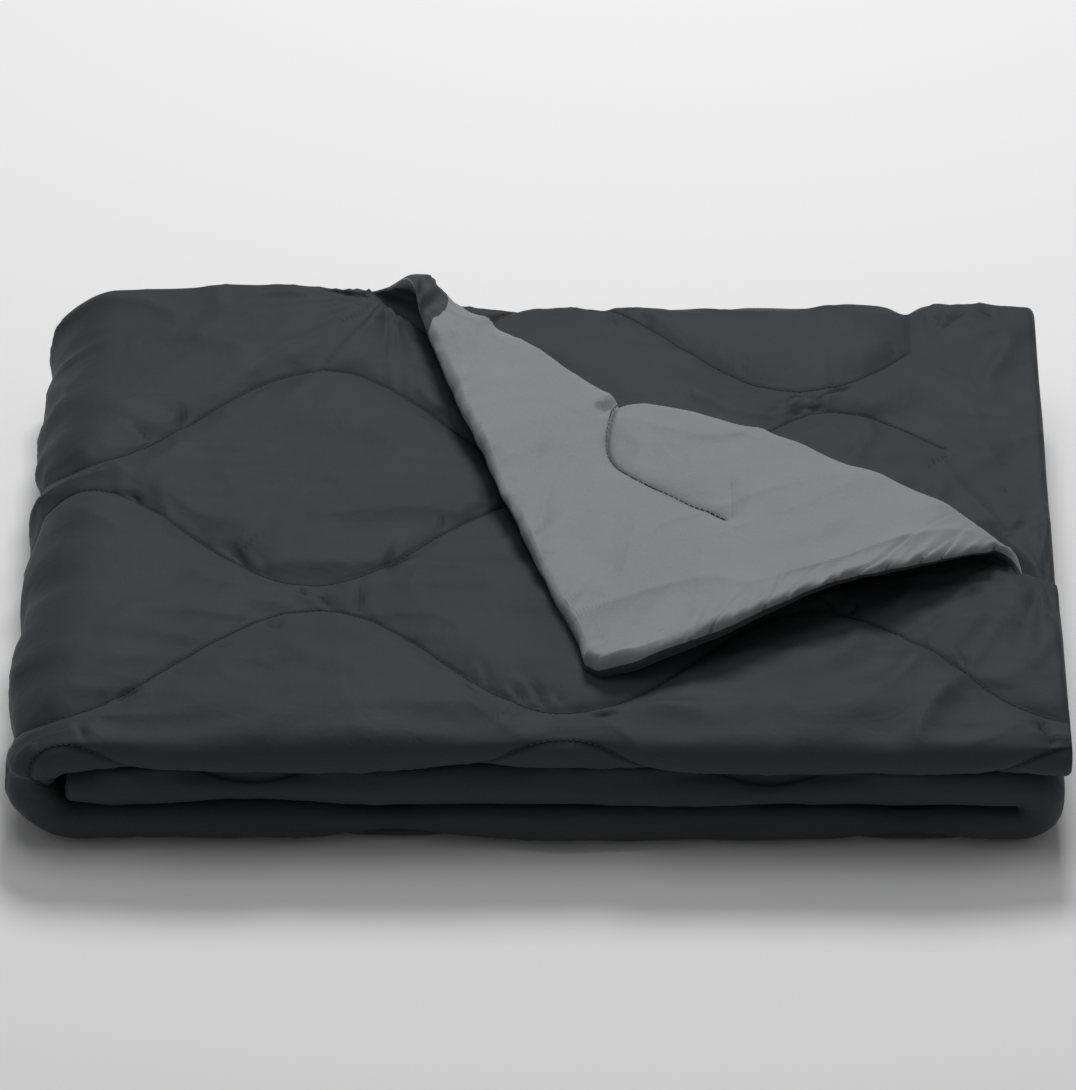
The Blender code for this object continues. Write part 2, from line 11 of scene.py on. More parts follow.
import bmesh
import bpy
import numpy as np
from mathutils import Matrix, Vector


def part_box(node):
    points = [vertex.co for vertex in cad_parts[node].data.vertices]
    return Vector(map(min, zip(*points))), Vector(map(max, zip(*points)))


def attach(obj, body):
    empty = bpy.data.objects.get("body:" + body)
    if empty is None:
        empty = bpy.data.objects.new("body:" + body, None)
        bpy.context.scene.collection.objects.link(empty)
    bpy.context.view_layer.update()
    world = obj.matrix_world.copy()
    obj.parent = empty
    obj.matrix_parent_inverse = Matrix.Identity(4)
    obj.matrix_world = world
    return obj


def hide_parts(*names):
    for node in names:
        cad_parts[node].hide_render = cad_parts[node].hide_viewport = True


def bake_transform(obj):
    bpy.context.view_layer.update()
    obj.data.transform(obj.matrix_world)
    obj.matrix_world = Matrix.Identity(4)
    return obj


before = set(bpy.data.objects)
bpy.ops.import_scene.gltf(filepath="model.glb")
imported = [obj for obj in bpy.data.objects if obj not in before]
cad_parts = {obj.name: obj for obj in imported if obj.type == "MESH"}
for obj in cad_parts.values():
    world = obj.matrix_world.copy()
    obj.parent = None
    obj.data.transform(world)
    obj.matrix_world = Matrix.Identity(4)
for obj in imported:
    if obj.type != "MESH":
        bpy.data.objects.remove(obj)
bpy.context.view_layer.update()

MM = 0.001

# Plies and the room between them
PLY = 9.0 * MM
PLY_GAP = 0.6 * MM
HALF_PLY = PLY / 2
STRIP = 3 * PLY + 2 * PLY_GAP
LEAF_PITCH = STRIP + PLY_GAP
JOINT_GAP = 0.15 * MM

# The stack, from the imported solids
TOP_LOW, TOP_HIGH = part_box("top_face_cloth")
HEM_Y, FRONT_Y = TOP_HIGH[1], TOP_LOW[1]
RIGHT_X, TOP_Z, STACK_Z = TOP_HIGH[0], TOP_LOW[2], TOP_HIGH[2]
HINGE_X, HINGE_Z = TOP_LOW[0] - JOINT_GAP, STACK_Z / 2

# Front fold, back fold and tucked hem of every leaf
FRONT_R = STRIP / 2
FRONT_FOLD_Y = FRONT_Y + FRONT_R
BACK_R = PLY + PLY_GAP / 2
BACK_FOLD_Y = HEM_Y - BACK_R
TUCK_Y = FRONT_FOLD_Y + PLY_GAP
FRONT_ARC = math.pi * FRONT_R
LOWER_PLY = BACK_FOLD_Y - FRONT_FOLD_Y
BACK_ARC = math.pi * BACK_R
TUCKED_PLY = BACK_FOLD_Y - TUCK_Y
FRONT_START = HEM_Y - FRONT_FOLD_Y
LOWER_START = FRONT_START + FRONT_ARC
BACK_START = LOWER_START + LOWER_PLY
TUCKED_START = BACK_START + BACK_ARC
CLOTH_END = TUCKED_START + TUCKED_PLY

# Side folds of the strip
LEFT_FOLD_R = STACK_Z / 2 - STRIP
RIGHT_FOLD_R = PLY_GAP / 2
LEFT_ARC = math.pi * (LEFT_FOLD_R + STRIP)
RIGHT_ARC = math.pi * (RIGHT_FOLD_R + STRIP)
FOLD_X = HINGE_X
RIGHT_FOLD_X = RIGHT_X - STRIP - RIGHT_FOLD_R
BASE_RUN = RIGHT_FOLD_X - FOLD_X
BASE_START = FOLD_X - LEFT_ARC
RIGHT_START = BASE_START - BASE_RUN
MIDDLE_START = RIGHT_START - RIGHT_ARC
MIDDLE_OVERRUN = 9 * MM
STRIP_END = MIDDLE_START - BASE_RUN - MIDDLE_OVERRUN

# Corner turned back
TURN_START = np.array([-120 * MM, HEM_Y])
TURN_ALONG = np.array([0.8, -0.6])
TURN_OUT = np.array([0.6, 0.8])
TURN_LENGTH = 525 * MM
CORNER_ALONG = 336 * MM
CORNER_OUT = 252 * MM
TURN_R = 7 * MM
TURN_AXIS_Z = STACK_Z + TURN_R
ROLL = math.pi * (TURN_R + HALF_PLY)
NOTCH = 221 * MM

# The turned corner has been drawn out a little over the leaf, and lies less steeply than its board
DRAWN_OUT = 266 * MM
DRAWN_ALONG = CORNER_ALONG * DRAWN_OUT / CORNER_OUT
CORNER_REACH = DRAWN_OUT - ROLL
DRAWN_CLEARANCE = 3.5 * MM
SLOPE = math.asin((2 * TURN_R - DRAWN_CLEARANCE) / CORNER_REACH)
CORNER_PLUMP = 3.5 * MM

# How the corner's fold line is drawn in, and how its roll and hems lie
PULL_WIDE = 21 * MM
PULL_PLACE = 205 * MM
PULL_SHARP = 10 * MM
RIGHT_END = 440 * MM
RIGHT_END_RUN = 80 * MM
END_OVERLAP = 13 * MM
FOLD_UNDERLAP = 0.6 * MM
ROLL_TIGHTENING = 0.42
TIGHT_START = 430 * MM
NOTCH_PINCH = 4 * MM
LEFT_DRAW = 9 * MM
RIGHT_DRAW = 24 * MM
RIGHT_SWELL = 14 * MM
BULGE = 7 * MM
BULGE_PLACE = 42 * MM
RIGHT_HEM_ARCH = 12 * MM
LEFT_HEM_ARCH = 3 * MM
WRAP_WIDTH = 19 * MM
WRAP_LENGTH = 36 * MM

# Quilting and pleats of the corner
SEAM_LEVEL = 76 * MM
SEAM_RISE = 96 * MM
SEAM_BEND = 17 * MM
SEAM_END = 347 * MM
SPUR_START = np.array([346 * MM, 73 * MM])
SPUR_END = np.array([327 * MM, 47 * MM])
FLAP_START = -12 * MM
SLITS = (0.17, 0.21, 0.33, 0.38, 0.50, 0.55, 0.61, 0.68, 0.73, 0.86)
SLIT_WIDTH = 2.1 * MM

# Quilting
WAVE_LENGTH = 292 * MM
WAVE_HEIGHT = 48 * MM
ROW_PITCH = 119 * MM
FIRST_ROW = 137 * MM
CREST_X = -130 * MM
ROWS = 10
ROW_WANDER = 1.6 * MM
LOWER_DRIFT = 30 * MM
ROW_SHIFTS = {7: -8 * MM, 8: 15 * MM}
ROW_ENDS = {7: 221 * MM, 8: 240 * MM, 9: 200 * MM}
CREASED_ROW = 7
FAR = 1.0
TOP_ROWS = range(4)
TUCKED_ROWS = range(7, ROWS)

# The face between and at the seams, and how free it is where something presses on it
PUFF_HEIGHT = 5.6 * MM
SEAM_SINK = 3.0 * MM
PUFF_RUN = 13 * MM
SHOULDER_SINK = 3.0 * MM
GATHER_HEIGHT = 4.2 * MM
GATHER_ENDS = ((30 * MM, 41), (505 * MM, 43))
FRONT_FREEDOM = 0.75
BACK_FREEDOM = 0.7
MIDDLE_FREEDOM = 0.12
END_THINNING = 0.22

# Relief: the lattice's hash, then height, waves along and across the strip in millimetres, slant and seed
HASH_FACTORS = (374761393, 668265263, 974711, 1274126177)
SEAM_PUCKERS = ((0.45, 9, 11, 0, 5),)
SEAM_FOLDS = ((0.9, 26, 34, 0, 7),)
SWELLS = ((1.5, 85, 60, 0, 9), (0.3, 14, 17, 0, 13))
DENTS = ((2.1, 120, 44, 0.4 / 60, 17), (1.4, 58, 23, -0.5 / 30, 19))
CORNER_DENTS = ((2.4, 36, 52, 0.6 / 40, 29),)
FLAP_SWELLS = ((1.9, 48, 60, 0, 65), (0.3, 13, 16, 0, 69))
FLAP_DENTS = ((1.7, 34, 110, 1 / 60, 67),)
FLAP_LEFT_DENTS = ((1.8, 26, 80, -1 / 50, 73),)
FLAP_GATHERS = ((2.4, 8, 45, 0, 81),)

# Short creases at the quilting; lengths and widths in millimetres
TICKS = 260
TICK_DEPTH = 2.6 * MM
TICK_LENGTHS = (9, 34)
TICK_WIDTHS = (1.6, 3.2)
TICK_LEAN = 1.1
TICK_SEED = 5

# Sag and lean of the stack
SAG_WAVE = 1.5 * MM
SIDE_SAG = 3.0 * MM
FRONT_SAG = 4.5 * MM
FRONT_LEAN = 6 * MM
DEPTH_WAVES = (2.2 * MM, 1.2 * MM)
SIDE_WAVE = 2.0 * MM
FLOOR_ROOM = 0.4 * MM

# Distances along the cloth with the hems' turns
HEM_QUARTER = math.pi / 2 * HALF_PLY
HEM_EXTRA = HEM_QUARTER - HALF_PLY
V_LENGTH = CLOTH_END + 2 * HEM_EXTRA
TURN_STEPS = 4

# Meshes: steps of the cover and the lining, and the cover's cells between the quilting rows
ROW_CROWDING = 0.55
TOP_STEPS = (2.6 * MM, 7 * MM)
TOP_CELLS = (44,) * 4 + (20,) * 4 + (40,) * 3
TOP_OVERLAP = 3 * MM
LOWER_STEPS = (5.2 * MM, 8 * MM)
LOWER_CELLS = (16, 16, 16, 30, 30) + (16,) * 6
FLAP_STEP = 2.2 * MM
COARSENESS = 1.0
WIRE_STEP = 40 * MM

# Stitches: length, gap and radius; share of the length and height in millimetres of each ring
ROW_STITCH = (3.0 * MM, 0.7 * MM, 0.36 * MM)
CORNER_STITCH = (3.4 * MM, 0.3 * MM, 0.28 * MM)
STITCH_SIDES = 6
STITCH_RINGS = ((0.0, -0.5), (0.22, 0.15), (0.78, 0.15), (1.0, -0.5))
SHORTEST_RUN = 6

WIRES = ("base_heating_wire", "middle_heating_wire", "right_fold_lead_wire",
         "left_fold_lead_wire", "top_heating_wire")

# Cloth colours: middle, shaded and light
DARK_TONES = ((0.036, 0.0415, 0.046), (0.031, 0.036, 0.040), (0.048, 0.055, 0.060))
GREY_TONES = ((0.27, 0.28, 0.285), (0.235, 0.243, 0.248), (0.33, 0.34, 0.345))
CORNER_TONES = ((0.25, 0.26, 0.265), (0.22, 0.228, 0.233), (0.30, 0.31, 0.315))
# dark face colour of the turned corner, also used as painted shade on its right hem's wall near the tip
WRAP_AND_HEM_SHADE_COLOUR = (0.040, 0.046, 0.050)

# Stage
FLOOR_HALF = 12.0
FLOOR_DROP = 0.6 * MM
WORLD_LIGHT = 0.17
LIGHT_TARGET = Vector((0.0, 0.0, 0.05))
KEY_LIGHT = {"place": (0.15, 1.5, 2.2), "size": 0.9, "energy": 38.0}
TOP_LIGHT = {"place": (-0.2, 0.1, 2.7), "size": 1.6, "energy": 13.0}
CAMERA_ELEVATION = math.radians(36.0)
CAMERA_AZIMUTH = math.radians(0.54)
CAMERA_DISTANCE = 3.82
CAMERA_LENS = 214.0
CAMERA_SENSOR_WIDTH = 36.0
CAMERA_SHIFT = (-0.002, 0.0142)


# ---- arithmetic

def smooth(t):
    t = np.clip(t, 0.0, 1.0)
    return t * t * (3 - 2 * t)


def ease(t):
    """A softer step than smooth, without bends where two noise cells meet."""
    return t * t * t * (t * (6 * t - 15) + 10)


def lattice(i, j, seed):
    """A repeatable value from -1 to 1 for each whole-number place."""
    n = (i * HASH_FACTORS[0] + j * HASH_FACTORS[1] + seed * HASH_FACTORS[2]) & 0x7FFFFFFF
    n = ((n ^ (n >> 13)) * HASH_FACTORS[3]) & 0x7FFFFFFF
    n = (n ^ (n >> 16)) & 0xFFFF
    return n / 32767.5 - 1.0


def noise(x, y, seed):
    """Smooth value noise from -1 to 1 at places a wavelength apart."""
    xi, yi = np.floor(x).astype(np.int64), np.floor(y).astype(np.int64)
    fx, fy = ease(x - xi), ease(y - yi)
    a = lattice(xi, yi, seed) * (1 - fx) + lattice(xi + 1, yi, seed) * fx
    b = lattice(xi, yi + 1, seed) * (1 - fx) + lattice(xi + 1, yi + 1, seed) * fx
    return a * (1 - fy) + b * fy


def creases(x, y, seed):
    """Noise with sharp valleys and round ridges, from -1 to 1."""
    return 1.0 - 2.0 * np.abs(noise(x, y, seed)) ** 0.7


def relief(pattern, layers, x, v):
    """Height of some layers of noise or creases."""
    x, v = x / MM, v / MM
    return MM * sum(high * pattern(x / along + slant * v, v / across, seed)
                    for high, along, across, slant, seed in layers)


# ---- cloth places

def section(v, d):
    """(y, n) of a cloth place v, at depth d below the face."""
    front = math.pi / 2 + (v - FRONT_START) / FRONT_R
    back = -math.pi / 2 + (v - BACK_START) / BACK_R
    spots = [v < FRONT_START, v < LOWER_START, v < BACK_START, v < TUCKED_START]
    y = np.select(spots, [
        HEM_Y - v,
        FRONT_FOLD_Y + (FRONT_R - d) * np.cos(front),
        FRONT_FOLD_Y + (v - LOWER_START),
        BACK_FOLD_Y + (BACK_R - d) * np.cos(back),
    ], BACK_FOLD_Y - (v - TUCKED_START))
    n = np.select(spots, [
        STRIP - d,
        FRONT_R + (FRONT_R - d) * np.sin(front),
        d,
        BACK_R + (BACK_R - d) * np.sin(back),
    ], 2 * BACK_R - d)
    return y, n


def strip_place(x, y, n):
    """Points in space of a place along the strip and in its section."""
    left = math.pi / 2 + (FOLD_X - x) / (LEFT_FOLD_R + STRIP)
    right = -math.pi / 2 + (RIGHT_START - x) / (RIGHT_FOLD_R + STRIP)
    spots = [x > FOLD_X, x > BASE_START, x > RIGHT_START, x > MIDDLE_START]
    px = np.select(spots, [
        x,
        FOLD_X + (LEFT_FOLD_R + n) * np.cos(left),
        FOLD_X + (BASE_START - x),
        RIGHT_FOLD_X + (RIGHT_FOLD_R + n) * np.cos(right),
    ], RIGHT_FOLD_X - (MIDDLE_START - x))
    pz = np.select(spots, [
        TOP_Z + n,
        HINGE_Z + (LEFT_FOLD_R + n) * np.sin(left),
        STRIP - n,
        STRIP + RIGHT_FOLD_R + (RIGHT_FOLD_R + n) * np.sin(right),
    ], LEAF_PITCH + n)
    return np.stack([px, y, pz], axis=-1)


def row_v(k, x):
    """Place across the cloth of quilting row k; the rows take turns."""
    x = x - ROW_SHIFTS.get(k, 0.0)
    swing = np.cos(2 * math.pi * (x - CREST_X) / WAVE_LENGTH)
    wander = ROW_WANDER * noise(x / (70 * MM), np.full_like(x, k * 3.7), 11)
    wander = wander + LOWER_DRIFT * smooth((BASE_START + 20 * MM - x) / (90 * MM))
    return FIRST_ROW + k * ROW_PITCH - (-1) ** k * WAVE_HEIGHT * swing + wander


def row_slope(k, x):
    x = x - ROW_SHIFTS.get(k, 0.0)
    turn = 2 * math.pi / WAVE_LENGTH
    return (-1) ** k * WAVE_HEIGHT * turn * np.sin(turn * (x - CREST_X))


def seam_distance(x, v):
    """Distance to the nearest quilting row, or to the crease that leaves one row for the back fold."""
    best = np.full_like(x, FAR)
    for k in range(ROWS):
        end = ROW_ENDS.get(k, FAR)
        sewn = np.minimum(x, end)
        across = np.abs(v - row_v(k, sewn)) / np.sqrt(1 + row_slope(k, sewn) ** 2)
        best = np.minimum(best, np.hypot(across, x - sewn))
    crease_x = np.full_like(x, ROW_ENDS[CREASED_ROW])
    crease_v = np.clip(v, TUCKED_START - 0.4 * BACK_ARC, row_v(CREASED_ROW, crease_x))
    return np.minimum(best, np.hypot(x - crease_x, v - crease_v))


def from_turn(x, y, way):
    """Distance from the start of the turned corner's fold line, measured one way in plan."""
    return (x - TURN_START[0]) * way[0] + (y - TURN_START[1]) * way[1]


def turn_out(x, v):
    """How far a place of the upper ply is beyond the turned corner's fold line."""
    return from_turn(x, HEM_Y - v, TURN_OUT)


def turn_along(x, v):
    """How far a place of the upper ply is along that line."""
    return from_turn(x, HEM_Y - v, TURN_ALONG)


def tucked_out(x, v):
    """How far a place of the tucked ply is beyond that line."""
    return from_turn(x, BACK_FOLD_Y - (v - TUCKED_START), TURN_OUT)


def freedom(x, v):
    """1 where the face is free to puff, 0 where another ply presses on it."""
    on_top = x > FOLD_X - 30 * MM
    outer = (x > RIGHT_START) & (x < FOLD_X)
    upper = v < FRONT_START
    round_front = np.sin(np.clip((v - FRONT_START) / FRONT_ARC, 0, 1) * math.pi)
    round_back = np.sin(np.clip((v - BACK_START) / BACK_ARC, 0, 1) * math.pi)
    free = np.where(upper & (on_top | outer), 1.0, 0.0)
    free = np.where(upper & (x < MIDDLE_START), MIDDLE_FREEDOM, free)
    in_front = (v >= FRONT_START) & (v < LOWER_START)
    lead = np.where(on_top, smooth(1 - (v - FRONT_START) / (0.5 * FRONT_ARC)), 0)
    free = np.where(in_front, np.maximum(FRONT_FREEDOM * round_front, lead), free)
    in_back = (v >= BACK_START) & (v < TUCKED_START)
    free = np.where(in_back, BACK_FREEDOM * round_back, free)
    bare = (v >= BACK_START) & (x > FOLD_X)
    uncovered = smooth((tucked_out(x, v) - 4 * MM) / (22 * MM))
    return np.where(bare, np.maximum(free, uncovered), free)


def gathers(x, v):
    """Folds that run from both ends of the turned corner into the upper and the tucked ply."""
    tucked = v > TUCKED_START
    upper_v = np.where(tucked, HEM_Y - BACK_FOLD_Y + (v - TUCKED_START), v)
    along, out = turn_along(x, upper_v), turn_out(x, upper_v)
    height = np.zeros_like(x)
    strength, spokes = np.where(tucked, 1.5, 1.0), np.where(tucked, 4.0, 6.0)
    for centre, seed in GATHER_ENDS:
        away = np.hypot(along - centre, out)
        angle = np.arctan2(out - 12 * MM, along - centre)
        near = smooth(away / (14 * MM)) * np.exp(-away / np.where(tucked, 95 * MM, 56 * MM))
        height += near * creases(angle * spokes, away / (110 * MM), seed) * strength
    return height * ((v < FRONT_START) | tucked) * (x > FOLD_X)


def ticks(x, v):
    """Short sharp creases that run away from the quilting rows."""
    rng = np.random.default_rng(TICK_SEED)
    height = np.zeros_like(x)
    for _ in range(TICKS):
        k = int(rng.integers(0, ROWS))
        x0 = rng.uniform(FOLD_X, RIGHT_X)
        side = 1 if rng.random() < 0.5 else -1
        v0 = float(row_v(k, np.array([x0]))[0]) + side * 3 * MM
        lean = rng.uniform(-TICK_LEAN, TICK_LEAN)
        long = rng.uniform(*TICK_LENGTHS) * MM
        deep = rng.uniform(0.35, 1.0) * TICK_DEPTH
        wide = rng.uniform(*TICK_WIDTHS) * MM
        way_x, way_v = math.sin(lean), side * math.cos(lean)
        dx, dv = x - x0, v - v0
        near = (np.abs(dx) < long + 4 * wide) & (np.abs(dv) < long + 4 * wide)
        if not near.any():
            continue
        run = (dx[near] * way_x + dv[near] * way_v) / long
        off = (dx[near] * way_v - dv[near] * way_x) / wide
        off = off + 0.8 * np.sin(run * 4 + lean)
        inside = np.clip(run, 0, 1)
        fade = 2 * inside ** 0.5 * (1 - inside)
        height[near] += deep * fade * (-np.exp(-off * off) + 0.6 * np.exp(-(off - 2) ** 2))
    return height


def beside_corner(x):
    """1 at the right side, where the turned corner has crumpled the cloth, and less elsewhere."""
    return 0.25 + 0.75 * smooth((x - 110 * MM) / (90 * MM))


def puff(x, v):
    """Height of the face above its flat place."""
    free = freedom(x, v)
    seam = seam_distance(x, v)
    cell = 1 - np.exp(-seam / PUFF_RUN)
    at_seam = np.exp(-seam / (9 * MM))
    beside_seam = np.exp(-((seam - 9 * MM) / (9 * MM)) ** 2)
    shoulder = np.exp(-((v - FRONT_START - 3 * MM) / (15 * MM)) ** 2)
    height = PUFF_HEIGHT * cell - SEAM_SINK - SHOULDER_SINK * shoulder
    height += at_seam * relief(noise, SEAM_PUCKERS, x, v)
    height += beside_seam * relief(creases, SEAM_FOLDS, x, v)
    height += relief(noise, SWELLS, x, v)
    height += cell * relief(creases, DENTS, x, v)
    height += cell * beside_corner(x) * relief(creases, CORNER_DENTS, x, v)
    height += GATHER_HEIGHT * gathers(x, v) + ticks(x, v)
    pressed = -1.6 * MM * at_seam - 0.35 * MM
    return free * height + (1 - free) * pressed


def settle(p):
    """Lets the stack sag and lean a little, all plies alike."""
    x, y, z = p[..., 0], p[..., 1], p[..., 2]
    rise = np.clip(z / STACK_Z, 0, 1.3)
    lifted = smooth((z - 4 * MM) / (30 * MM))
    dz = SAG_WAVE * noise(x / (150 * MM) + 3, y / (130 * MM), 21) * rise
    dz = dz - SIDE_SAG * smooth((np.abs(x) - 220 * MM) / (90 * MM)) * rise * lifted
    dz = dz - FRONT_SAG * smooth((FRONT_FOLD_Y + 75 * MM - y) / (85 * MM)) * rise
    dy = DEPTH_WAVES[0] * noise(x / (110 * MM), z / (26 * MM), 23) * lifted
    dy += DEPTH_WAVES[1] * noise(x / (38 * MM), z / (20 * MM), 27) * lifted
    in_front = smooth((FRONT_FOLD_Y + 50 * MM - y) / (60 * MM))
    dy += FRONT_LEAN * smooth((TOP_Z - z) / (7 * MM)) * in_front
    dx = SIDE_WAVE * noise(y / (120 * MM), z / (24 * MM), 25) * lifted
    out = p + np.stack([dx, dy, dz], axis=-1)
    # what would sink below the floor is eased back onto it
    low = out[..., 2] - FLOOR_ROOM
    out[..., 2] = FLOOR_ROOM + 0.5 * (low + np.sqrt(low * low + (1.2 * MM) ** 2)) - 0.1 * MM
    return out


# ---- meshes

def hem_turn(s):
    """(place, cosine of the turn) from a distance along the cloth that goes round both hems."""
    start_turn = np.clip(1 - s / HEM_QUARTER, 0, 1) * math.pi / 2
    end_turn = np.clip(1 - (V_LENGTH - s) / HEM_QUARTER, 0, 1) * math.pi / 2
    place = s - HEM_EXTRA
    place = np.where(start_turn > 0, HALF_PLY * (1 - np.sin(start_turn)), place)
    place = np.where(end_turn > 0, CLOTH_END - HALF_PLY * (1 - np.sin(end_turn)), place)
    return place, np.cos(start_turn) * np.cos(end_turn)


def cover_lines(x, cells):
    """Lines across the cloth at one x, in distance round the hems, that keep to the quilting rows."""
    bounds = [np.full_like(x, HEM_QUARTER)]
    bounds += [row_v(k, x) + HEM_EXTRA for k in range(ROWS)]
    bounds.append(np.full_like(x, V_LENGTH - HEM_QUARTER))
    lines = [np.full_like(x, HEM_QUARTER * k / TURN_STEPS) for k in range(TURN_STEPS)]
    for low, high, count in zip(bounds, bounds[1:], cells):
        for k in range(count):
            even = k / count
            eased = 0.5 - 0.5 * math.cos(math.pi * even)
            share = even + ROW_CROWDING * (eased - even)
            lines.append(low + (high - low) * share)
    lines += [np.full_like(x, V_LENGTH - HEM_QUARTER * k / TURN_STEPS) for k in range(TURN_STEPS, -1, -1)]
    return np.stack(lines, axis=1)


def strip_columns(low, high, step, hem_at_low, hem_at_high):
    """Distances along the strip; a hem end gets extra columns round its turn."""
    inner_low = low + HEM_QUARTER if hem_at_low else low
    inner_high = high - HALF_PLY if hem_at_high else high
    count = max(2, int((inner_high - inner_low) / step))
    columns = list(np.linspace(inner_low, inner_high, count))
    if hem_at_low:
        columns = [low + HEM_QUARTER * k / TURN_STEPS for k in range(TURN_STEPS)] + columns
    if hem_at_high:
        columns += [inner_high + HEM_QUARTER * k / TURN_STEPS for k in range(1, TURN_STEPS + 1)]
    return np.array(columns)


def strip_turn(s, low, high, hem_at_low, hem_at_high):
    """(x, cosine of the turn) of a distance along the strip, as strip_columns gives them."""
    x, cosine = s.copy(), np.ones_like(s)
    if hem_at_high:
        turn = np.clip((s - high + HALF_PLY) / HEM_QUARTER, 0, 1) * math.pi / 2
        x = np.where(turn > 0, high - HALF_PLY * (1 - np.sin(turn)), x)
        x = np.where(turn <= 0, np.minimum(x, high - HALF_PLY), x)
        cosine = cosine * np.cos(turn)
    if hem_at_low:
        turn = np.clip((low + HEM_QUARTER - s) / HEM_QUARTER, 0, 1) * math.pi / 2
        x = np.where(turn > 0, low + HALF_PLY * (1 - np.sin(turn)), x)
        cosine = cosine * np.cos(turn)
    return x, cosine


def grid_faces(rows, columns):
    index = np.arange(rows * columns).reshape(rows, columns)
    a, b = index[:-1, :-1], index[1:, :-1]
    c, d = index[1:, 1:], index[:-1, 1:]
    return np.stack([a, b, c, d], axis=-1).reshape(-1, 4)


def set_attribute(mesh, name, values):
    attribute = mesh.attributes.new(name, "FLOAT", "POINT")
    attribute.data.foreach_set("value", values.astype(np.float32))


def mesh_from(name, points, faces, uv, seam):
    """A smooth mesh of quads with a cloth map and a seam attribute, which holds painted shade for the
    seams and creases.
    """
    used, inverse = np.unique(faces, return_inverse=True)
    faces = inverse.reshape(faces.shape)
    points, uv, seam = points[used], uv[used], seam[used]
    mesh = bpy.data.meshes.new(name)
    mesh.vertices.add(len(points))
    mesh.vertices.foreach_set("co", points.astype(np.float32).ravel())
    mesh.loops.add(faces.size)
    mesh.loops.foreach_set("vertex_index", faces.astype(np.int32).ravel())
    mesh.polygons.add(len(faces))
    mesh.polygons.foreach_set("loop_start", np.arange(0, faces.size, 4, dtype=np.int32))
    mesh.polygons.foreach_set("use_smooth", np.ones(len(faces), bool))
    layer = mesh.uv_layers.new(name="cloth")
    mesh.update(calc_edges=True)
    layer.data.foreach_set("uv", uv[faces.ravel()].astype(np.float32).ravel())
    set_attribute(mesh, "seam", seam)
    mesh.validate()
    return mesh


def add_object(name, mesh, finish):
    obj = bpy.data.objects.new(name, mesh)
    bpy.context.scene.collection.objects.link(obj)
    mesh.materials.clear()
    mesh.materials.append(finish)
    return obj


def fold_pull(along):
    """How far the corner's fold line is drawn in from a straight line."""
    wide = PULL_WIDE * np.exp(-((along - PULL_PLACE) / (125 * MM)) ** 2)
    sharp = PULL_SHARP * np.exp(-np.abs(along - NOTCH) / (15 * MM))
    return wide + sharp


def at_right_end(along):
    """1 at the right end of the corner's fold line, 0 along the rest of it."""
    return smooth((along - RIGHT_END) / RIGHT_END_RUN)


def bend_to_notch(p, x, v):
    """Draws the upper ply near the corner's fold line towards the front left, as the fold is."""
    along, out = turn_along(x, v), turn_out(x, v)
    upper = (v < FRONT_START) & (x > FOLD_X)
    pull = fold_pull(along) * np.exp(np.minimum(out, 0) / (70 * MM)) * upper
    pull = pull * (1 - at_right_end(along))
    moved = p.copy()
    moved[..., 0] -= TURN_OUT[0] * pull
    moved[..., 1] -= TURN_OUT[1] * pull
    return moved


def cut_limit(along):
    """How far the upper ply goes past the corner's fold line before the roll takes over."""
    at_left_end = 1 - smooth(along / (45 * MM))
    return END_OVERLAP * (at_left_end + at_right_end(along)) - FOLD_UNDERLAP


def cut_turned_corner(x, v, faces):
    """(x, v) with the edge drawn onto the fold line, the faces that stay and how plump the edge is."""
    over = turn_out(x, v) - cut_limit(turn_along(x, v))
    over = np.where((v < FRONT_START) & (x > FOLD_X), over, -1.0)
    keep = ~(over.reshape(-1)[faces] > 0).all(axis=1)
    back = np.clip(over, 0, None)
    edge = np.clip(-over / HALF_PLY, 0, 1)
    inside = smooth(v / (20 * MM))
    along_strip = inside * TURN_OUT[0] + (1 - inside) / TURN_OUT[0]
    x, v = x - along_strip * back, v + inside * TURN_OUT[1] * back
    return x, v, faces[keep], np.sqrt(1 - (1 - edge) ** 2)


def leaf_grid(low, high, step, hems, lines_at, cut_corner):
    """Places of a run of the strip: x, v, cosine of the hems' turns, cloth map and faces."""
    columns = strip_columns(low, high, step, *hems)
    x, turn = strip_turn(columns, low, high, *hems)
    lines = lines_at(x)
    columns, x, turn = [np.repeat(part[:, None], lines.shape[1], axis=1) for part in (columns, x, turn)]
    v, turn_v = hem_turn(lines)
    turn = turn * turn_v
    faces = grid_faces(*x.shape)
    if cut_corner:
        x, v, faces, plump = cut_turned_corner(x, v, faces)
        turn = turn * plump
    return x, v, turn, np.stack([columns, lines], axis=-1).reshape(-1, 2), faces


def leaf_cover(name, low, high, step, cells, hems, cut_corner=False):
    """The dark outside of a run of the strip."""
    x, v, turn, uv, faces = leaf_grid(low, high, step, hems, lambda at: cover_lines(at, cells), cut_corner)
    depth = HALF_PLY - (HALF_PLY + puff(x, v)) * turn
    points = place_leaf(x, *section(v, depth), v)
    # painted shade: the seam attribute darkens the quilting seams and the short creases
    crease_shade = np.clip(-ticks(x, v) / (1.5 * MM), 0, 0.85) * freedom(x, v)
    seam = np.maximum(np.exp(-seam_distance(x, v) / (3 * MM)), crease_shade)
    return mesh_from(name, points.reshape(-1, 3), faces, uv, seam.ravel())


def place_leaf(x, y, n, v):
    """Space points of a leaf, with what the whole stack does to them."""
    end = smooth((MIDDLE_START - BASE_RUN + 22 * MM - x) / (30 * MM))
    n = np.where(x < MIDDLE_START, STRIP / 2 + (n - STRIP / 2) * (1 - END_THINNING * end), n)
    points = strip_place(x, y, n)
    return settle(bend_to_notch(points, x, v))


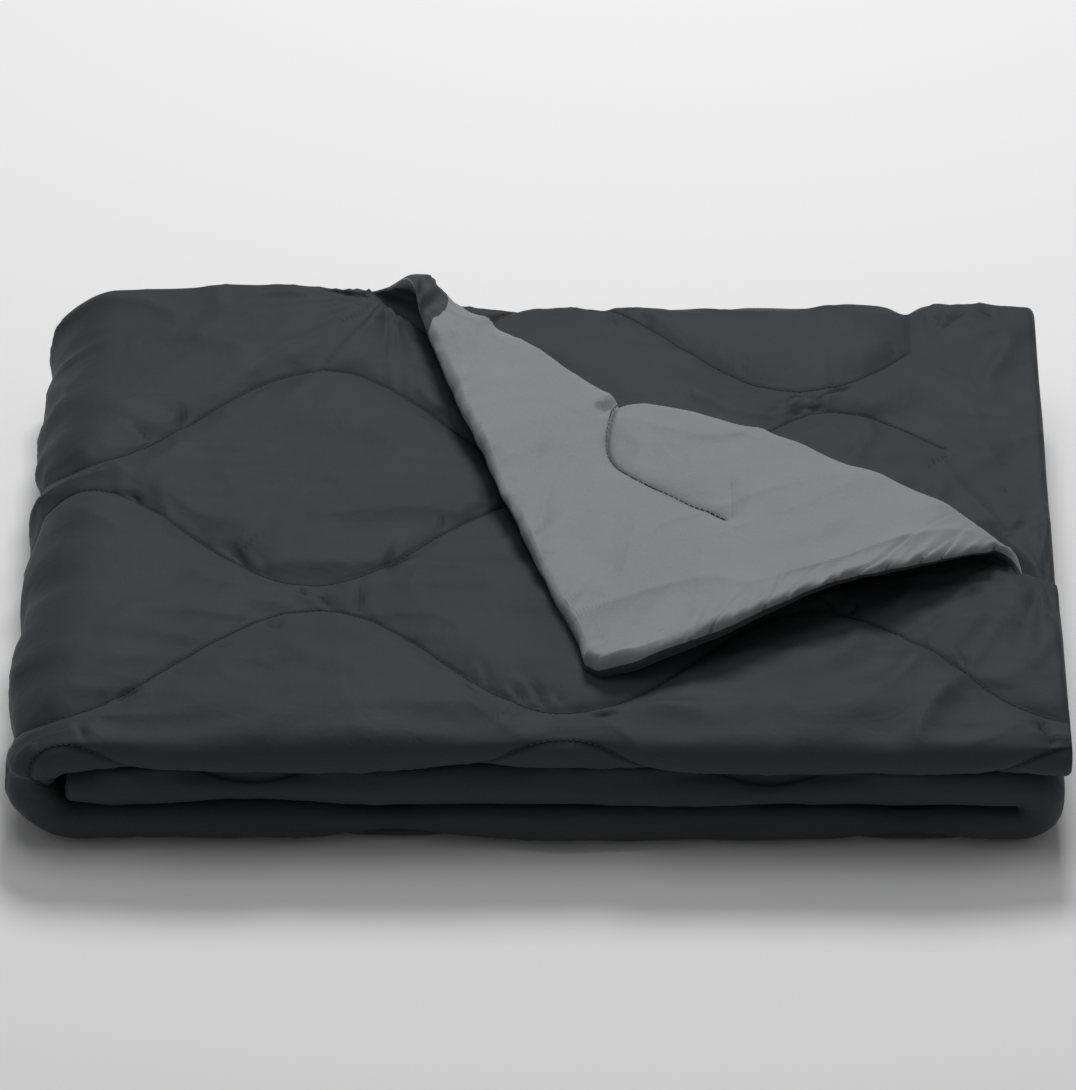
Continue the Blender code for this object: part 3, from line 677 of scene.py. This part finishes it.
def lining_lines(step):
    """Distances across the cloth, round both hems."""
    inner = np.linspace(HEM_QUARTER, V_LENGTH - HEM_QUARTER, int(V_LENGTH / step))
    edge = HEM_QUARTER * np.arange(TURN_STEPS) / TURN_STEPS
    return np.concatenate([edge, inner, (V_LENGTH - edge)[::-1]])


def leaf_lining(name, low, high, step, hems, cut_corner=False):
    """The grey inside of a run of the strip."""
    lines = lining_lines(step)
    x, v, turn, uv, faces = leaf_grid(
        low, high, step, hems, lambda at: np.tile(lines, (len(at), 1)), cut_corner)
    sink = -0.3 * MM - 1.4 * MM * np.exp(-seam_distance(x, v) / (10 * MM))
    points = place_leaf(x, *section(v, HALF_PLY + (HALF_PLY + sink) * turn), v)
    return mesh_from(name, points.reshape(-1, 3), faces, uv, np.zeros(x.size))


# ---- turned corner

def flap_row(along):
    """Reach of the quilting row on the turned corner: steep at the notch, then level."""
    return SEAM_LEVEL - SEAM_RISE * np.exp(-(along - NOTCH) / SEAM_BEND)


def flap_seam(along, reach):
    """Distance to the quilting on the turned corner, how far it is sewn there, and to its end crease."""
    place = np.maximum(along, NOTCH - 20 * MM)
    slope = SEAM_RISE / SEAM_BEND * np.exp(-(place - NOTCH) / SEAM_BEND)
    distance = np.abs(reach - flap_row(place)) / np.sqrt(1 + slope * slope)
    fade = smooth((reach + 12 * MM) / (12 * MM)) * smooth((SEAM_END + 4 * MM - along) / (8 * MM))
    way = SPUR_END - SPUR_START
    off_along, off_reach = along - SPUR_START[0], reach - SPUR_START[1]
    share = np.clip((off_along * way[0] + off_reach * way[1]) / (way @ way), 0, 1)
    spur = np.hypot(off_along - share * way[0], off_reach - share * way[1])
    return distance, fade, spur


def flap_grid(step):
    """(along, cloth distance rho from the fold, distances to both hems and to the tip) on a grid."""
    end = DRAWN_OUT - 5 * MM
    rows = int((end - FLAP_START) / step)
    rho = np.linspace(FLAP_START, end - 4 * MM, rows)
    rho = np.concatenate([rho, end - np.array([2.6, 1.5, 0.7, 0.2, 0.0]) * MM])
    columns = int(TURN_LENGTH / step)
    cluster = np.array([0, 0.12, 0.5, 1.1, 1.9, 3.0, 4.5]) * MM
    even = np.linspace(0, 1, columns)
    left = np.clip(rho, 0, None) * DRAWN_ALONG / DRAWN_OUT
    right = TURN_LENGTH - np.clip(rho, 0, None) * (TURN_LENGTH - DRAWN_ALONG) / DRAWN_OUT
    width = (right - left)[:, None]
    scale = np.minimum(1.0, width / (30 * MM))
    first = cluster[None, :] * scale
    middle = first[:, -1:] + (width - 2 * first[:, -1:]) * even[None, 1:-1]
    last = width - first[:, ::-1]
    along = left[:, None] + np.concatenate([first, middle, last], axis=1)
    rho = np.repeat(rho[:, None], along.shape[1], axis=1)
    sine_left = DRAWN_OUT / math.hypot(DRAWN_OUT, DRAWN_ALONG)
    sine_right = DRAWN_OUT / math.hypot(DRAWN_OUT, TURN_LENGTH - DRAWN_ALONG)
    to_left = (along - left[:, None]) * sine_left
    to_right = (right[:, None] - along) * sine_right
    return along, rho, to_left, to_right, end - rho


def flap_place(along, rho, radius, to_left, to_right):
    """Space points of the turned corner at a radius from its fold's axis."""
    turn = np.clip(rho / ROLL, 0, 1) * (math.pi + SLOPE)
    reach = np.clip(rho - ROLL, 0, None)
    before = np.clip(rho, None, 0)
    tight = 1 - ROLL_TIGHTENING * smooth((along - TIGHT_START) / (95 * MM))
    radius = radius * tight
    axis = TURN_AXIS_Z - (TURN_R + HALF_PLY) * (1 - tight) * 0.6
    out = radius * np.sin(turn) + before
    out = np.where(rho > ROLL, -(reach * math.cos(SLOPE) + radius * math.sin(SLOPE)), out)
    z = axis - radius * np.cos(turn)
    z = np.where(rho > ROLL, axis + radius * math.cos(SLOPE) - reach * math.sin(SLOPE), z)
    near_fold = np.exp(-reach / (60 * MM))
    # the fold is drawn in at the notch, and pinched down there
    out = out - fold_pull(along) * near_fold
    pinch = np.exp(-np.abs(along - NOTCH) / (13 * MM)) * np.exp(-reach / (26 * MM))
    z = z - NOTCH_PINCH * pinch * smooth(rho / ROLL)
    # the left hem is drawn in near the fold, and bulges there
    lead = np.clip(rho / (0.4 * ROLL), 0, 1)
    along = along + LEFT_DRAW * near_fold * np.exp(-to_left / (50 * MM)) * lead
    bulge = np.exp(-((along - BULGE_PLACE) / (26 * MM)) ** 2) * np.exp(-reach / (30 * MM))
    z = z + BULGE * bulge * smooth(rho / (0.5 * ROLL))
    # the right hem is drawn in near the fold, swells out beyond it and arches up
    hem = np.clip((along - DRAWN_ALONG) / (TURN_LENGTH - DRAWN_ALONG), 0, 1)
    near = np.exp(-to_right / (45 * MM))
    along = along - RIGHT_DRAW * np.exp(-reach / (70 * MM)) * near
    swell = smooth((reach - 90 * MM) / (90 * MM)) * (1 - smooth((reach - 205 * MM) / (40 * MM)))
    along = along + RIGHT_SWELL * swell * near
    arch = np.sin(math.pi * hem ** 0.9) * smooth((rho - 0.5 * ROLL) / ROLL)
    z = z + RIGHT_HEM_ARCH * arch * np.exp(-to_right / (38 * MM))
    arch = np.sin(math.pi * np.clip(along / DRAWN_ALONG, 0, 1)) * smooth((rho - ROLL) / (30 * MM))
    z = z + LEFT_HEM_ARCH * arch * np.exp(-to_left / (30 * MM))
    x = TURN_START[0] + TURN_ALONG[0] * along + TURN_OUT[0] * out
    y = TURN_START[1] + TURN_ALONG[1] * along + TURN_OUT[1] * out
    return np.stack([x, y, z], axis=-1)


def hem_slits(along, to_right):
    """Sharp pleats that run from the right hem into the turned corner."""
    hem = (along - DRAWN_ALONG) / (TURN_LENGTH - DRAWN_ALONG)
    length = math.hypot(TURN_LENGTH - DRAWN_ALONG, DRAWN_OUT)
    height = np.zeros_like(along)
    for k, place in enumerate(SLITS):
        off = (hem - place) * length / SLIT_WIDTH + 0.2 * to_right / MM * (-1) ** k
        fade = np.exp(-to_right / ((6 + 3 * (k % 3)) * MM))
        height += fade * (-3.2 * np.exp(-off * off) + 1.5 * np.exp(-(off - 2.2) ** 2))
    return height * MM


def flap_height(along, rho, to_left, to_right):
    """Puff of the turned corner's lining."""
    reach = rho - ROLL
    distance, fade, spur = flap_seam(along, reach)
    groove = fade * np.exp(-distance / (2.6 * MM)) + 0.5 * np.exp(-spur / (2.4 * MM))
    edge = np.minimum(to_left, to_right)
    height = 2.0 * MM * (1 - np.exp(-distance / (14 * MM)) * fade) - 1.9 * MM * groove
    pucker = noise(along / (6 * MM), edge / (30 * MM), 61)
    pucker = pucker + 0.8 * creases(along / (11 * MM) + 4, edge / (40 * MM), 63)
    height += 1.9 * MM * pucker * np.exp(-edge / (11 * MM)) + hem_slits(along, to_right)
    height += relief(noise, FLAP_SWELLS, along, rho) + relief(creases, FLAP_DENTS, along, rho)
    height += np.exp(-to_left / (70 * MM)) * relief(creases, FLAP_LEFT_DENTS, along, rho)
    slit = np.exp(-((along - NOTCH + 3 * MM + 0.35 * reach) / SLIT_WIDTH) ** 2)
    slit = slit * smooth((reach + 16 * MM) / (8 * MM)) * smooth((14 * MM - reach) / (8 * MM))
    peak = np.exp(-((along - NOTCH + 9 * MM) / (5 * MM)) ** 2 - ((reach + 4 * MM) / (12 * MM)) ** 2)
    gather = np.exp(-to_left / (22 * MM)) * smooth(1 - (reach - 10 * MM) / (40 * MM))
    height += gather * relief(creases, FLAP_GATHERS, along, rho)
    return height - 2.8 * MM * slit + 1.8 * MM * peak


def flap_depths(along, rho, to_left, to_right, to_end):
    """Depths of the corner's lining side and of its face side, from the face of the flat cloth."""
    edge = np.minimum(np.minimum(to_left, to_right), to_end)
    round_off = np.sqrt(np.clip(1 - (1 - np.clip(edge / HALF_PLY, 0, 1)) ** 2, 0, 1))
    start = smooth((rho - FLAP_START) / (14 * MM))
    plump = round_off * (0.10 + 0.90 * start)
    fat = CORNER_PLUMP * smooth(1 - to_end / (150 * MM))
    pleats = 3.0 * MM * creases(rho / (7 * MM), along / (30 * MM), 77)
    pleats = pleats * np.exp(-to_left / (26 * MM)) * smooth(1 - (rho - ROLL) / (20 * MM)) * start
    above = HALF_PLY + (HALF_PLY + flap_height(along, rho, to_left, to_right) - 0.5 * pleats) * plump
    seam_below = np.exp(-flap_seam(along, rho - ROLL)[0] / (9 * MM))
    below = HALF_PLY - (HALF_PLY + fat + pleats - 1.2 * MM * seam_below) * plump
    return above, below


def flap_crease_shade(along, rho, to_right):
    """Painted shade of the corner: 1 in the seam, the spur and the pleats, 0 elsewhere; along the seam it
    is partly a dark sewn line.
    """
    distance, fade, spur = flap_seam(along, rho - ROLL)
    crease_shade = np.maximum(fade * np.exp(-distance / (2.6 * MM)), 0.6 * np.exp(-spur / (2 * MM)))
    return np.maximum(crease_shade, np.clip(-hem_slits(along, to_right) / (3.2 * MM), 0, 0.85))


def dark_face_and_hem_shade(rho, to_left, to_right, to_end, above, below):
    """1 where the corner's cloth is the dark face, for both sides of the pad; near the tip on the right
    hem it also paints shade on the hem's wall.
    """
    wrap = WRAP_WIDTH * smooth(1 - (rho - ROLL + 8 * MM) / WRAP_LENGTH) - to_left
    near_tip = smooth(to_end / (20 * MM)) * smooth(1 - (to_end - 60 * MM) / (90 * MM))
    # near the tip the dark face colour climbs the right hem's wall: partly the face cloth rolled over the
    # hem, partly painted shade on that wall
    rise = 0.4 * MM + 1.6 * MM * near_tip * (to_right < 8 * MM)
    side_above = smooth((HALF_PLY + rise - above) / (1.2 * MM))
    side_above = np.maximum(side_above, smooth(0.5 + wrap / (3 * MM)))
    side_below = smooth((HALF_PLY + rise - below) / (1.2 * MM))
    return np.concatenate([side_above.ravel(), side_below.ravel()])


def flap_cover(name, step):
    """The turned corner as one closed pad: lining above, face below."""
    along, rho, to_left, to_right, to_end = flap_grid(step)
    above, below = flap_depths(along, rho, to_left, to_right, to_end)
    edge = np.minimum(np.minimum(to_left, to_right), to_end)
    wobble = 1.1 * MM * noise(along / (11 * MM), rho / (15 * MM), 71) * (edge < 12 * MM)
    sides = []
    for depth in (above, below):
        points = flap_place(along + wobble, rho, TURN_R + depth, to_left, to_right)
        sides.append(settle(points).reshape(-1, 3))
    faces = grid_faces(*along.shape)
    faces = np.concatenate([faces, faces[:, ::-1] + along.size])
    uv = np.tile(np.stack([along, rho], axis=-1).reshape(-1, 2), (2, 1))
    # painted shade of the corner's seam, spur and pleats, held in the seam attribute
    crease_shade = np.tile(flap_crease_shade(along, rho, to_right).ravel(), 2)
    mesh = mesh_from(name, np.concatenate(sides), faces, uv, crease_shade)
    set_attribute(mesh, "face_cloth_and_hem_shade", dark_face_and_hem_shade(rho, to_left, to_right, to_end, above, below))
    close_edges(mesh)
    return mesh


def close_edges(mesh):
    """Joins the two sides of a pad where they meet."""
    bm = bmesh.new()
    bm.from_mesh(mesh)
    bmesh.ops.remove_doubles(bm, verts=bm.verts, dist=0.02 * MM)
    bmesh.ops.recalc_face_normals(bm, faces=bm.faces)
    bm.to_mesh(mesh)
    bm.free()


# ---- stitching

def along_line(at, travelled, values):
    """Value, at a distance along a line, of something that is known at its points."""
    return np.array([np.interp(at, travelled, values[:, i]) for i in range(3)])


def unit(vector):
    return vector / np.linalg.norm(vector)


def stitch_rings(points, normals, travelled, start, length, radius):
    """Rings of points round one stitch, whose ends dip into the cloth."""
    spots = []
    for share, dip in STITCH_RINGS:
        normal = unit(along_line(start + share * length, travelled, normals))
        spots.append((along_line(start + share * length, travelled, points) + normal * dip * MM, normal))
    way = unit(spots[-1][0] - spots[0][0])
    verts = []
    for spot, normal in spots:
        side = np.cross(way, normal)
        for k in range(STITCH_SIDES):
            turn = 2 * math.pi * k / STITCH_SIDES
            verts.append(spot + radius * (math.cos(turn) * side + math.sin(turn) * normal))
    return verts


def stitch_faces(first):
    """Faces of one stitch whose first point has this number."""
    faces = []
    for row in range(len(STITCH_RINGS) - 1):
        low = first + row * STITCH_SIDES
        for k in range(STITCH_SIDES):
            a, b = low + k, low + (k + 1) % STITCH_SIDES
            faces.append((a, b, b + STITCH_SIDES, a + STITCH_SIDES))
    last = first + (len(STITCH_RINGS) - 1) * STITCH_SIDES
    faces.append(tuple(range(first + STITCH_SIDES - 1, first - 1, -1)))
    faces.append(tuple(range(last, last + STITCH_SIDES)))
    return faces


def stitch_mesh(name, runs, length, gap, radius):
    """Short stitches along lines of points with their normals."""
    verts, faces = [], []
    for points, normals in runs:
        steps = np.linalg.norm(np.diff(points, axis=0), axis=1)
        travelled = np.concatenate([[0], np.cumsum(steps)])
        for start in np.arange(0, travelled[-1] - length, length + gap):
            faces += stitch_faces(len(verts))
            verts += stitch_rings(points, normals, travelled, start, length, radius)
    mesh = bpy.data.meshes.new(name)
    mesh.from_pydata([tuple(p) for p in verts], [], faces)
    mesh.polygons.foreach_set("use_smooth", np.ones(len(mesh.polygons), bool))
    return mesh


def seam_run(k, x_low, x_high, keep=None):
    """Points and normals of a quilting row on the cover."""
    x = np.arange(x_low, x_high, 1.5 * MM)
    v = row_v(k, x)
    points = place_leaf(x, *section(v, -puff(x, v)), v)
    e = 2 * MM
    flat = section(v, np.zeros_like(v))
    flat_x = section(row_v(k, x + e), np.zeros_like(v))
    flat_v = section(v + e, np.zeros_like(v))
    a = strip_place(x + e, *flat_x) - strip_place(x, *flat)
    b = strip_place(x, *flat_v) - strip_place(x, *flat)
    normals = np.cross(b, a)
    normals /= np.linalg.norm(normals, axis=1)[:, None]
    good = np.ones(len(x), bool) if keep is None else keep(x, v)
    parts = np.split(np.arange(len(x)), np.flatnonzero(np.diff(good.astype(int))) + 1)
    return [(points[part], normals[part]) for part in parts
            if good[part[0]] and len(part) > SHORTEST_RUN]


def flap_seam_run():
    """Points and normals of the quilting row on the turned corner."""
    share = np.linspace(0, 1, 220)
    along = NOTCH - 2 * MM + (SEAM_END - NOTCH) * share ** 2
    rho = ROLL + flap_row(along)
    far = np.full_like(along, 0.1)
    height = flap_height(along, rho, far, far)
    points = settle(flap_place(along, rho, TURN_R + PLY + height + 0.8 * MM, far, far))
    normals = np.tile(np.array([0.0, 0.0, 1.0]), (len(along), 1))
    return [(points, normals)]


# ---- materials

class Look:
    """A new material, with short ways to add nodes to it."""

    def __init__(self, name):
        self.material = bpy.data.materials.new(name)
        self.material.use_nodes = True
        self.nodes = self.material.node_tree.nodes
        self.links = self.material.node_tree.links
        self.shader = self.nodes["Principled BSDF"]

    def set(self, values):
        for key, value in values.items():
            self.shader.inputs[key].default_value = value

    def link(self, source, socket):
        self.links.new(source, self.shader.inputs[socket])

    def place(self):
        return self.nodes.new("ShaderNodeTexCoord").outputs["Object"]

    def attribute(self, name):
        node = self.nodes.new("ShaderNodeAttribute")
        node.attribute_name = name
        return node.outputs["Fac"]

    def texture(self, kind, source, scale, **values):
        node = self.nodes.new(kind)
        node.inputs["Scale"].default_value = scale
        for key, value in values.items():
            node.inputs[key].default_value = value
        self.links.new(source, node.inputs["Vector"])
        return node.outputs["Fac"]

    def noise(self, source, scale, **values):
        return self.texture("ShaderNodeTexNoise", source, scale, **values)

    def ramp(self, source, low, high, at_low=0.0, at_high=1.0):
        node = self.nodes.new("ShaderNodeMapRange")
        node.inputs["From Min"].default_value = low
        node.inputs["From Max"].default_value = high
        node.inputs["To Min"].default_value = at_low
        node.inputs["To Max"].default_value = at_high
        self.links.new(source, node.inputs["Value"])
        return node.outputs["Result"]

    def mix(self, share, low, high):
        node = self.nodes.new("ShaderNodeMix")
        node.data_type = "RGBA"
        for socket, value in ((node.inputs[6], low), (node.inputs[7], high)):
            if isinstance(value, tuple):
                socket.default_value = (*value, 1.0)
            else:
                self.links.new(value, socket)
        self.links.new(share, node.inputs[0])
        return node.outputs[2]

    def bump(self, height, strength, distance, below=None):
        node = self.nodes.new("ShaderNodeBump")
        node.inputs["Strength"].default_value = strength
        node.inputs["Distance"].default_value = distance
        self.links.new(height, node.inputs["Height"])
        if below:
            self.links.new(below, node.inputs["Normal"])
        return node.outputs["Normal"]


def cloth_material(name, tones, roughness, sheen, wrap=None):
    """Brushed microfibre: a fine twill, soft blotches, and painted shade that darkens the seams, creases
    and pleats, with a dark sewn line in the seams.
    """
    colour, shade, light = tones
    look = Look(name)
    place = look.place()
    blotch = look.noise(place, 16.0, Detail=4.0)
    grain = look.noise(place, 900.0, Detail=2.0)
    tone = look.mix(look.ramp(blotch, 0.35, 0.65), shade, colour)
    tone = look.mix(look.ramp(grain, 0.3, 0.75, 0.0, 0.35), tone, light)
    # painted shade: the seam attribute darkens the colour in the seams' valleys, the creases and the
    # pleats; along the seam lines it is partly a dark sewn line
    sewn = look.ramp(look.attribute("seam"), 0.4, 0.95, 0.0, 0.92)
    tone = look.mix(sewn, tone, tuple(c * 0.2 for c in shade))
    # dark face colour where the face cloth wraps round, and painted shade on the right hem's wall near the
    # tip
    if wrap:
        tone = look.mix(look.ramp(look.attribute("face_cloth_and_hem_shade"), 0.4, 0.6), tone, wrap)
    look.link(tone, "Base Color")
    look.link(look.ramp(blotch, 0.3, 0.7, roughness - 0.05, roughness + 0.05), "Roughness")
    look.set({"Sheen Weight": sheen, "Sheen Roughness": 0.45, "Specular IOR Level": 0.22})
    uv = look.nodes.new("ShaderNodeUVMap")
    uv.uv_map = "cloth"
    weave = look.texture("ShaderNodeTexWave", uv.outputs["UV"], 420.0, Distortion=1.2, Detail=1.0)
    weave.node.bands_direction = "DIAGONAL"
    normal = look.bump(weave, 0.10, 0.0003)
    normal = look.bump(look.noise(place, 120.0, Detail=5.0, Roughness=0.55), 0.22, 0.0012, normal)
    normal = look.bump(look.noise(place, 34.0, Detail=3.0, Distortion=0.6), 0.30, 0.004, normal)
    look.link(normal, "Normal")
    return look.material


def thread_material(name, colour):
    """Twisted thread."""
    look = Look(name)
    twist = look.noise(look.place(), 2500.0, Detail=2.0)
    look.link(look.mix(twist, tuple(c * 0.6 for c in colour), colour), "Base Color")
    look.set({"Roughness": 0.6})
    look.link(look.bump(twist, 0.4, 0.0002), "Normal")
    return look.material


def plain_material(name, colour, roughness, metallic, grain_scale, strength):
    """Moulded or drawn stuff with a fine grain in its colour, gloss and surface."""
    look = Look(name)
    grain = look.noise(look.place(), grain_scale, Detail=3.0)
    look.link(look.mix(grain, tuple(c * 0.8 for c in colour), colour), "Base Color")
    look.link(look.ramp(grain, 0.2, 0.8, roughness - 0.08, roughness + 0.08), "Roughness")
    look.set({"Metallic": metallic})
    look.link(look.bump(grain, strength, 0.0003), "Normal")
    return look.material


DARK = cloth_material("charcoal_cloth", DARK_TONES, 0.68, 0.03)
GREY = cloth_material("grey_cloth", GREY_TONES, 0.62, 0.15)
CORNER = cloth_material("grey_cloth_corner", CORNER_TONES, 0.62, 0.15, WRAP_AND_HEM_SHADE_COLOUR)
THREAD = thread_material("dark_thread", (0.012, 0.014, 0.016))
GREY_THREAD = thread_material("grey_thread", (0.035, 0.037, 0.039))
PLASTIC = plain_material("black_plastic", (0.018, 0.018, 0.02), 0.45, 0.0, 700.0, 0.15)
BRASS = plain_material("contact_metal", (0.78, 0.62, 0.32), 0.28, 1.0, 500.0, 0.08)
CARBON = plain_material("carbon_wire", (0.06, 0.055, 0.055), 0.5, 0.0, 1500.0, 0.2)


# ---- pieces

def leaf_pieces(name, low, high, steps, cells, hems, cut_corner=False):
    """The cover and the lining of a run of the strip."""
    cells = [int(count / COARSENESS) for count in cells]
    step, lining_step = (step * COARSENESS for step in steps)
    cover_name, lining_name = name + "_cover", name + "_lining"
    cover = leaf_cover(cover_name, low, high, step, cells, hems, cut_corner)
    lining = leaf_lining(lining_name, low, high, lining_step, hems, cut_corner)
    return add_object(cover_name, cover, DARK), add_object(lining_name, lining, GREY)


def blend_corner(flap):
    """Bakes the turned corner's transform into its mesh."""
    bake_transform(flap)


def build_cloth():
    top, top_lining = leaf_pieces(
        "top_leaf", BASE_START - TOP_OVERLAP, RIGHT_X, TOP_STEPS, TOP_CELLS, (False, True), True)
    base, base_lining = leaf_pieces(
        "lower_leaves", STRIP_END, BASE_START, LOWER_STEPS, LOWER_CELLS, (True, False))
    flap = add_object("turned_corner", flap_cover("turned_corner", FLAP_STEP * COARSENESS), CORNER)
    for obj in (top, top_lining):
        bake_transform(obj)
    for obj in (base, base_lining):
        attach(obj, "base")
    blend_corner(flap)

    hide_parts("top_face_cloth", "top_wadding", "top_end_hem",
                "left_fold_face_cloth", "left_fold_wadding")
    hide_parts("top_lining", "top_reflector", "top_heater_felt",
                "left_fold_lining", "left_fold_reflector", "left_fold_heater_felt")
    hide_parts("base_face_cloth", "base_wadding", "middle_end_hem")
    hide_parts("base_lining", "base_reflector", "base_heater_felt")
    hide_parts("flap_face_cloth", "flap_wadding", "flap_reflector", "flap_heater_felt", "flap_lining",
                "flap_hem", "turn_roll_face_cloth", "turn_roll_wadding", "turn_roll_reflector",
                "turn_roll_heater_felt", "turn_roll_lining")


def on_upper(x, v):
    """Where the rows of the upper ply are sewn."""
    return (turn_out(x, v) < -6 * MM) & (v < LOWER_START - 0.3 * FRONT_ARC)


def on_tucked(x, v):
    """Where the turned corner leaves the rows of the tucked ply bare."""
    return (tucked_out(x, v) > 12 * MM) & (v > TUCKED_START - 0.4 * BACK_ARC)


def row_stitches(name, runs):
    return add_object(name, stitch_mesh(name, runs, *ROW_STITCH), THREAD)


def build_stitches():
    upper, side, lower = [], [], []
    for k in TOP_ROWS:
        upper += seam_run(k, FOLD_X + 2 * MM, RIGHT_X - 6 * MM, on_upper)
        side += seam_run(k, BASE_START, FOLD_X + 2 * MM)
        lower += seam_run(k, MIDDLE_START - 4 * MM, RIGHT_START + 4 * MM)
    for k in TUCKED_ROWS:
        upper += seam_run(k, FOLD_X + 2 * MM, ROW_ENDS[k], on_tucked)
    top = row_stitches("top_quilting_stitches", upper)
    fold = row_stitches("side_fold_stitches", side)
    right = row_stitches("right_fold_stitches", lower)
    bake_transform(fold)
    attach(right, "base")
    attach(top, "top")
    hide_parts("quilting_thread_1", "quilting_thread_2", "quilting_thread_3", "tucked_quilting_thread")
    corner_run = stitch_mesh("corner_quilting_stitches", flap_seam_run(), *CORNER_STITCH)
    flap = add_object("corner_quilting_stitches", corner_run, GREY_THREAD)
    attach(flap, "flap")
    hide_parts("flap_quilting_thread")


def short_edges(mesh, limit):
    """Divides a mesh's long edges, so that it can bend."""
    bm = bmesh.new()
    bm.from_mesh(mesh)
    while True:
        long = [edge for edge in bm.edges if edge.calc_length() > limit]
        if not long:
            break
        bmesh.ops.subdivide_edges(bm, edges=long, cuts=1)
    bm.to_mesh(mesh)
    bm.free()


def settle_wires():
    """The wires as they lie in the sagged cloth; the lead through the side fold bends with it."""
    for name in WIRES:
        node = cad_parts[name]
        mesh = node.data.copy()
        short_edges(mesh, WIRE_STEP)
        points = np.array([node.matrix_world @ vertex.co for vertex in mesh.vertices])
        mesh.vertices.foreach_set("co", settle(points).astype(np.float32).ravel())
        piece = add_object("settled_" + name, mesh, CARBON)
        if name == "left_fold_lead_wire":
            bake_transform(piece)
        else:
            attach(piece, "top" if name.startswith("top") else "base")
        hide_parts(name)


def finish_inner_nodes():
    """Materials of the pieces that stay as the frame has them."""
    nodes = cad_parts
    for name, node in nodes.items():
        finish = None
        if name.startswith("inlet_contact") or name == "temperature_sensor":
            finish = BRASS
        elif name.startswith("inlet") or name == "overheat_cutout":
            finish = PLASTIC
        if finish:
            node.data.materials.clear()
            node.data.materials.append(finish)
    soften = nodes["inlet_housing"].modifiers.new("edges", "BEVEL")
    soften.width = 0.9 * MM
    soften.segments = 3
    soften.limit_method = "ANGLE"


# ---- stage

def build_stage():
    mesh = bpy.data.meshes.new("floor")
    corners = [(x * FLOOR_HALF, y * FLOOR_HALF, 0) for x, y in ((-1, -1), (1, -1), (1, 1), (-1, 1))]
    mesh.from_pydata(corners, [], [(0, 1, 2, 3)])
    look = Look("pale_floor")
    look.set({"Base Color": (0.94, 0.94, 0.94, 1.0), "Roughness": 0.9, "Specular IOR Level": 0.1})
    floor = add_object("floor", mesh, look.material)
    floor.location.z = -FLOOR_DROP


def add_light(name, place, size, energy):
    light = bpy.data.lights.new(name, "AREA")
    light.shape = "DISK"
    light.size = size
    light.energy = energy
    obj = bpy.data.objects.new(name, light)
    obj.location = place
    obj.rotation_euler = (LIGHT_TARGET - Vector(place)).to_track_quat("-Z", "Y").to_euler()
    bpy.context.scene.collection.objects.link(obj)


def build_lights():
    scene = bpy.context.scene
    scene.view_settings.view_transform = "Standard"
    world = bpy.data.worlds.new("studio")
    scene.world = world
    world.use_nodes = True
    background = world.node_tree.nodes["Background"]
    background.inputs["Color"].default_value = (1.0, 1.0, 1.0, 1.0)
    background.inputs["Strength"].default_value = WORLD_LIGHT
    add_light("key", **KEY_LIGHT)
    add_light("top", **TOP_LIGHT)


def build_camera():
    level, rise = math.cos(CAMERA_ELEVATION), math.sin(CAMERA_ELEVATION)
    away = Vector((math.sin(CAMERA_AZIMUTH) * level, -math.cos(CAMERA_AZIMUTH) * level, rise))
    target = Vector((0.0, (HEM_Y + FRONT_Y) / 2, STACK_Z / 2))
    camera = bpy.data.cameras.new("camera")
    camera.lens = CAMERA_LENS
    camera.sensor_width = CAMERA_SENSOR_WIDTH
    camera.shift_x, camera.shift_y = CAMERA_SHIFT
    camera.clip_end = 60.0
    obj = bpy.data.objects.new("camera", camera)
    obj.location = target + away * CAMERA_DISTANCE
    obj.rotation_euler = (-away).to_track_quat("-Z", "Y").to_euler()
    bpy.context.scene.collection.objects.link(obj)
    bpy.context.scene.camera = obj


build_camera()
build_cloth()
build_stitches()
settle_wires()
finish_inner_nodes()
build_stage()
build_lights()
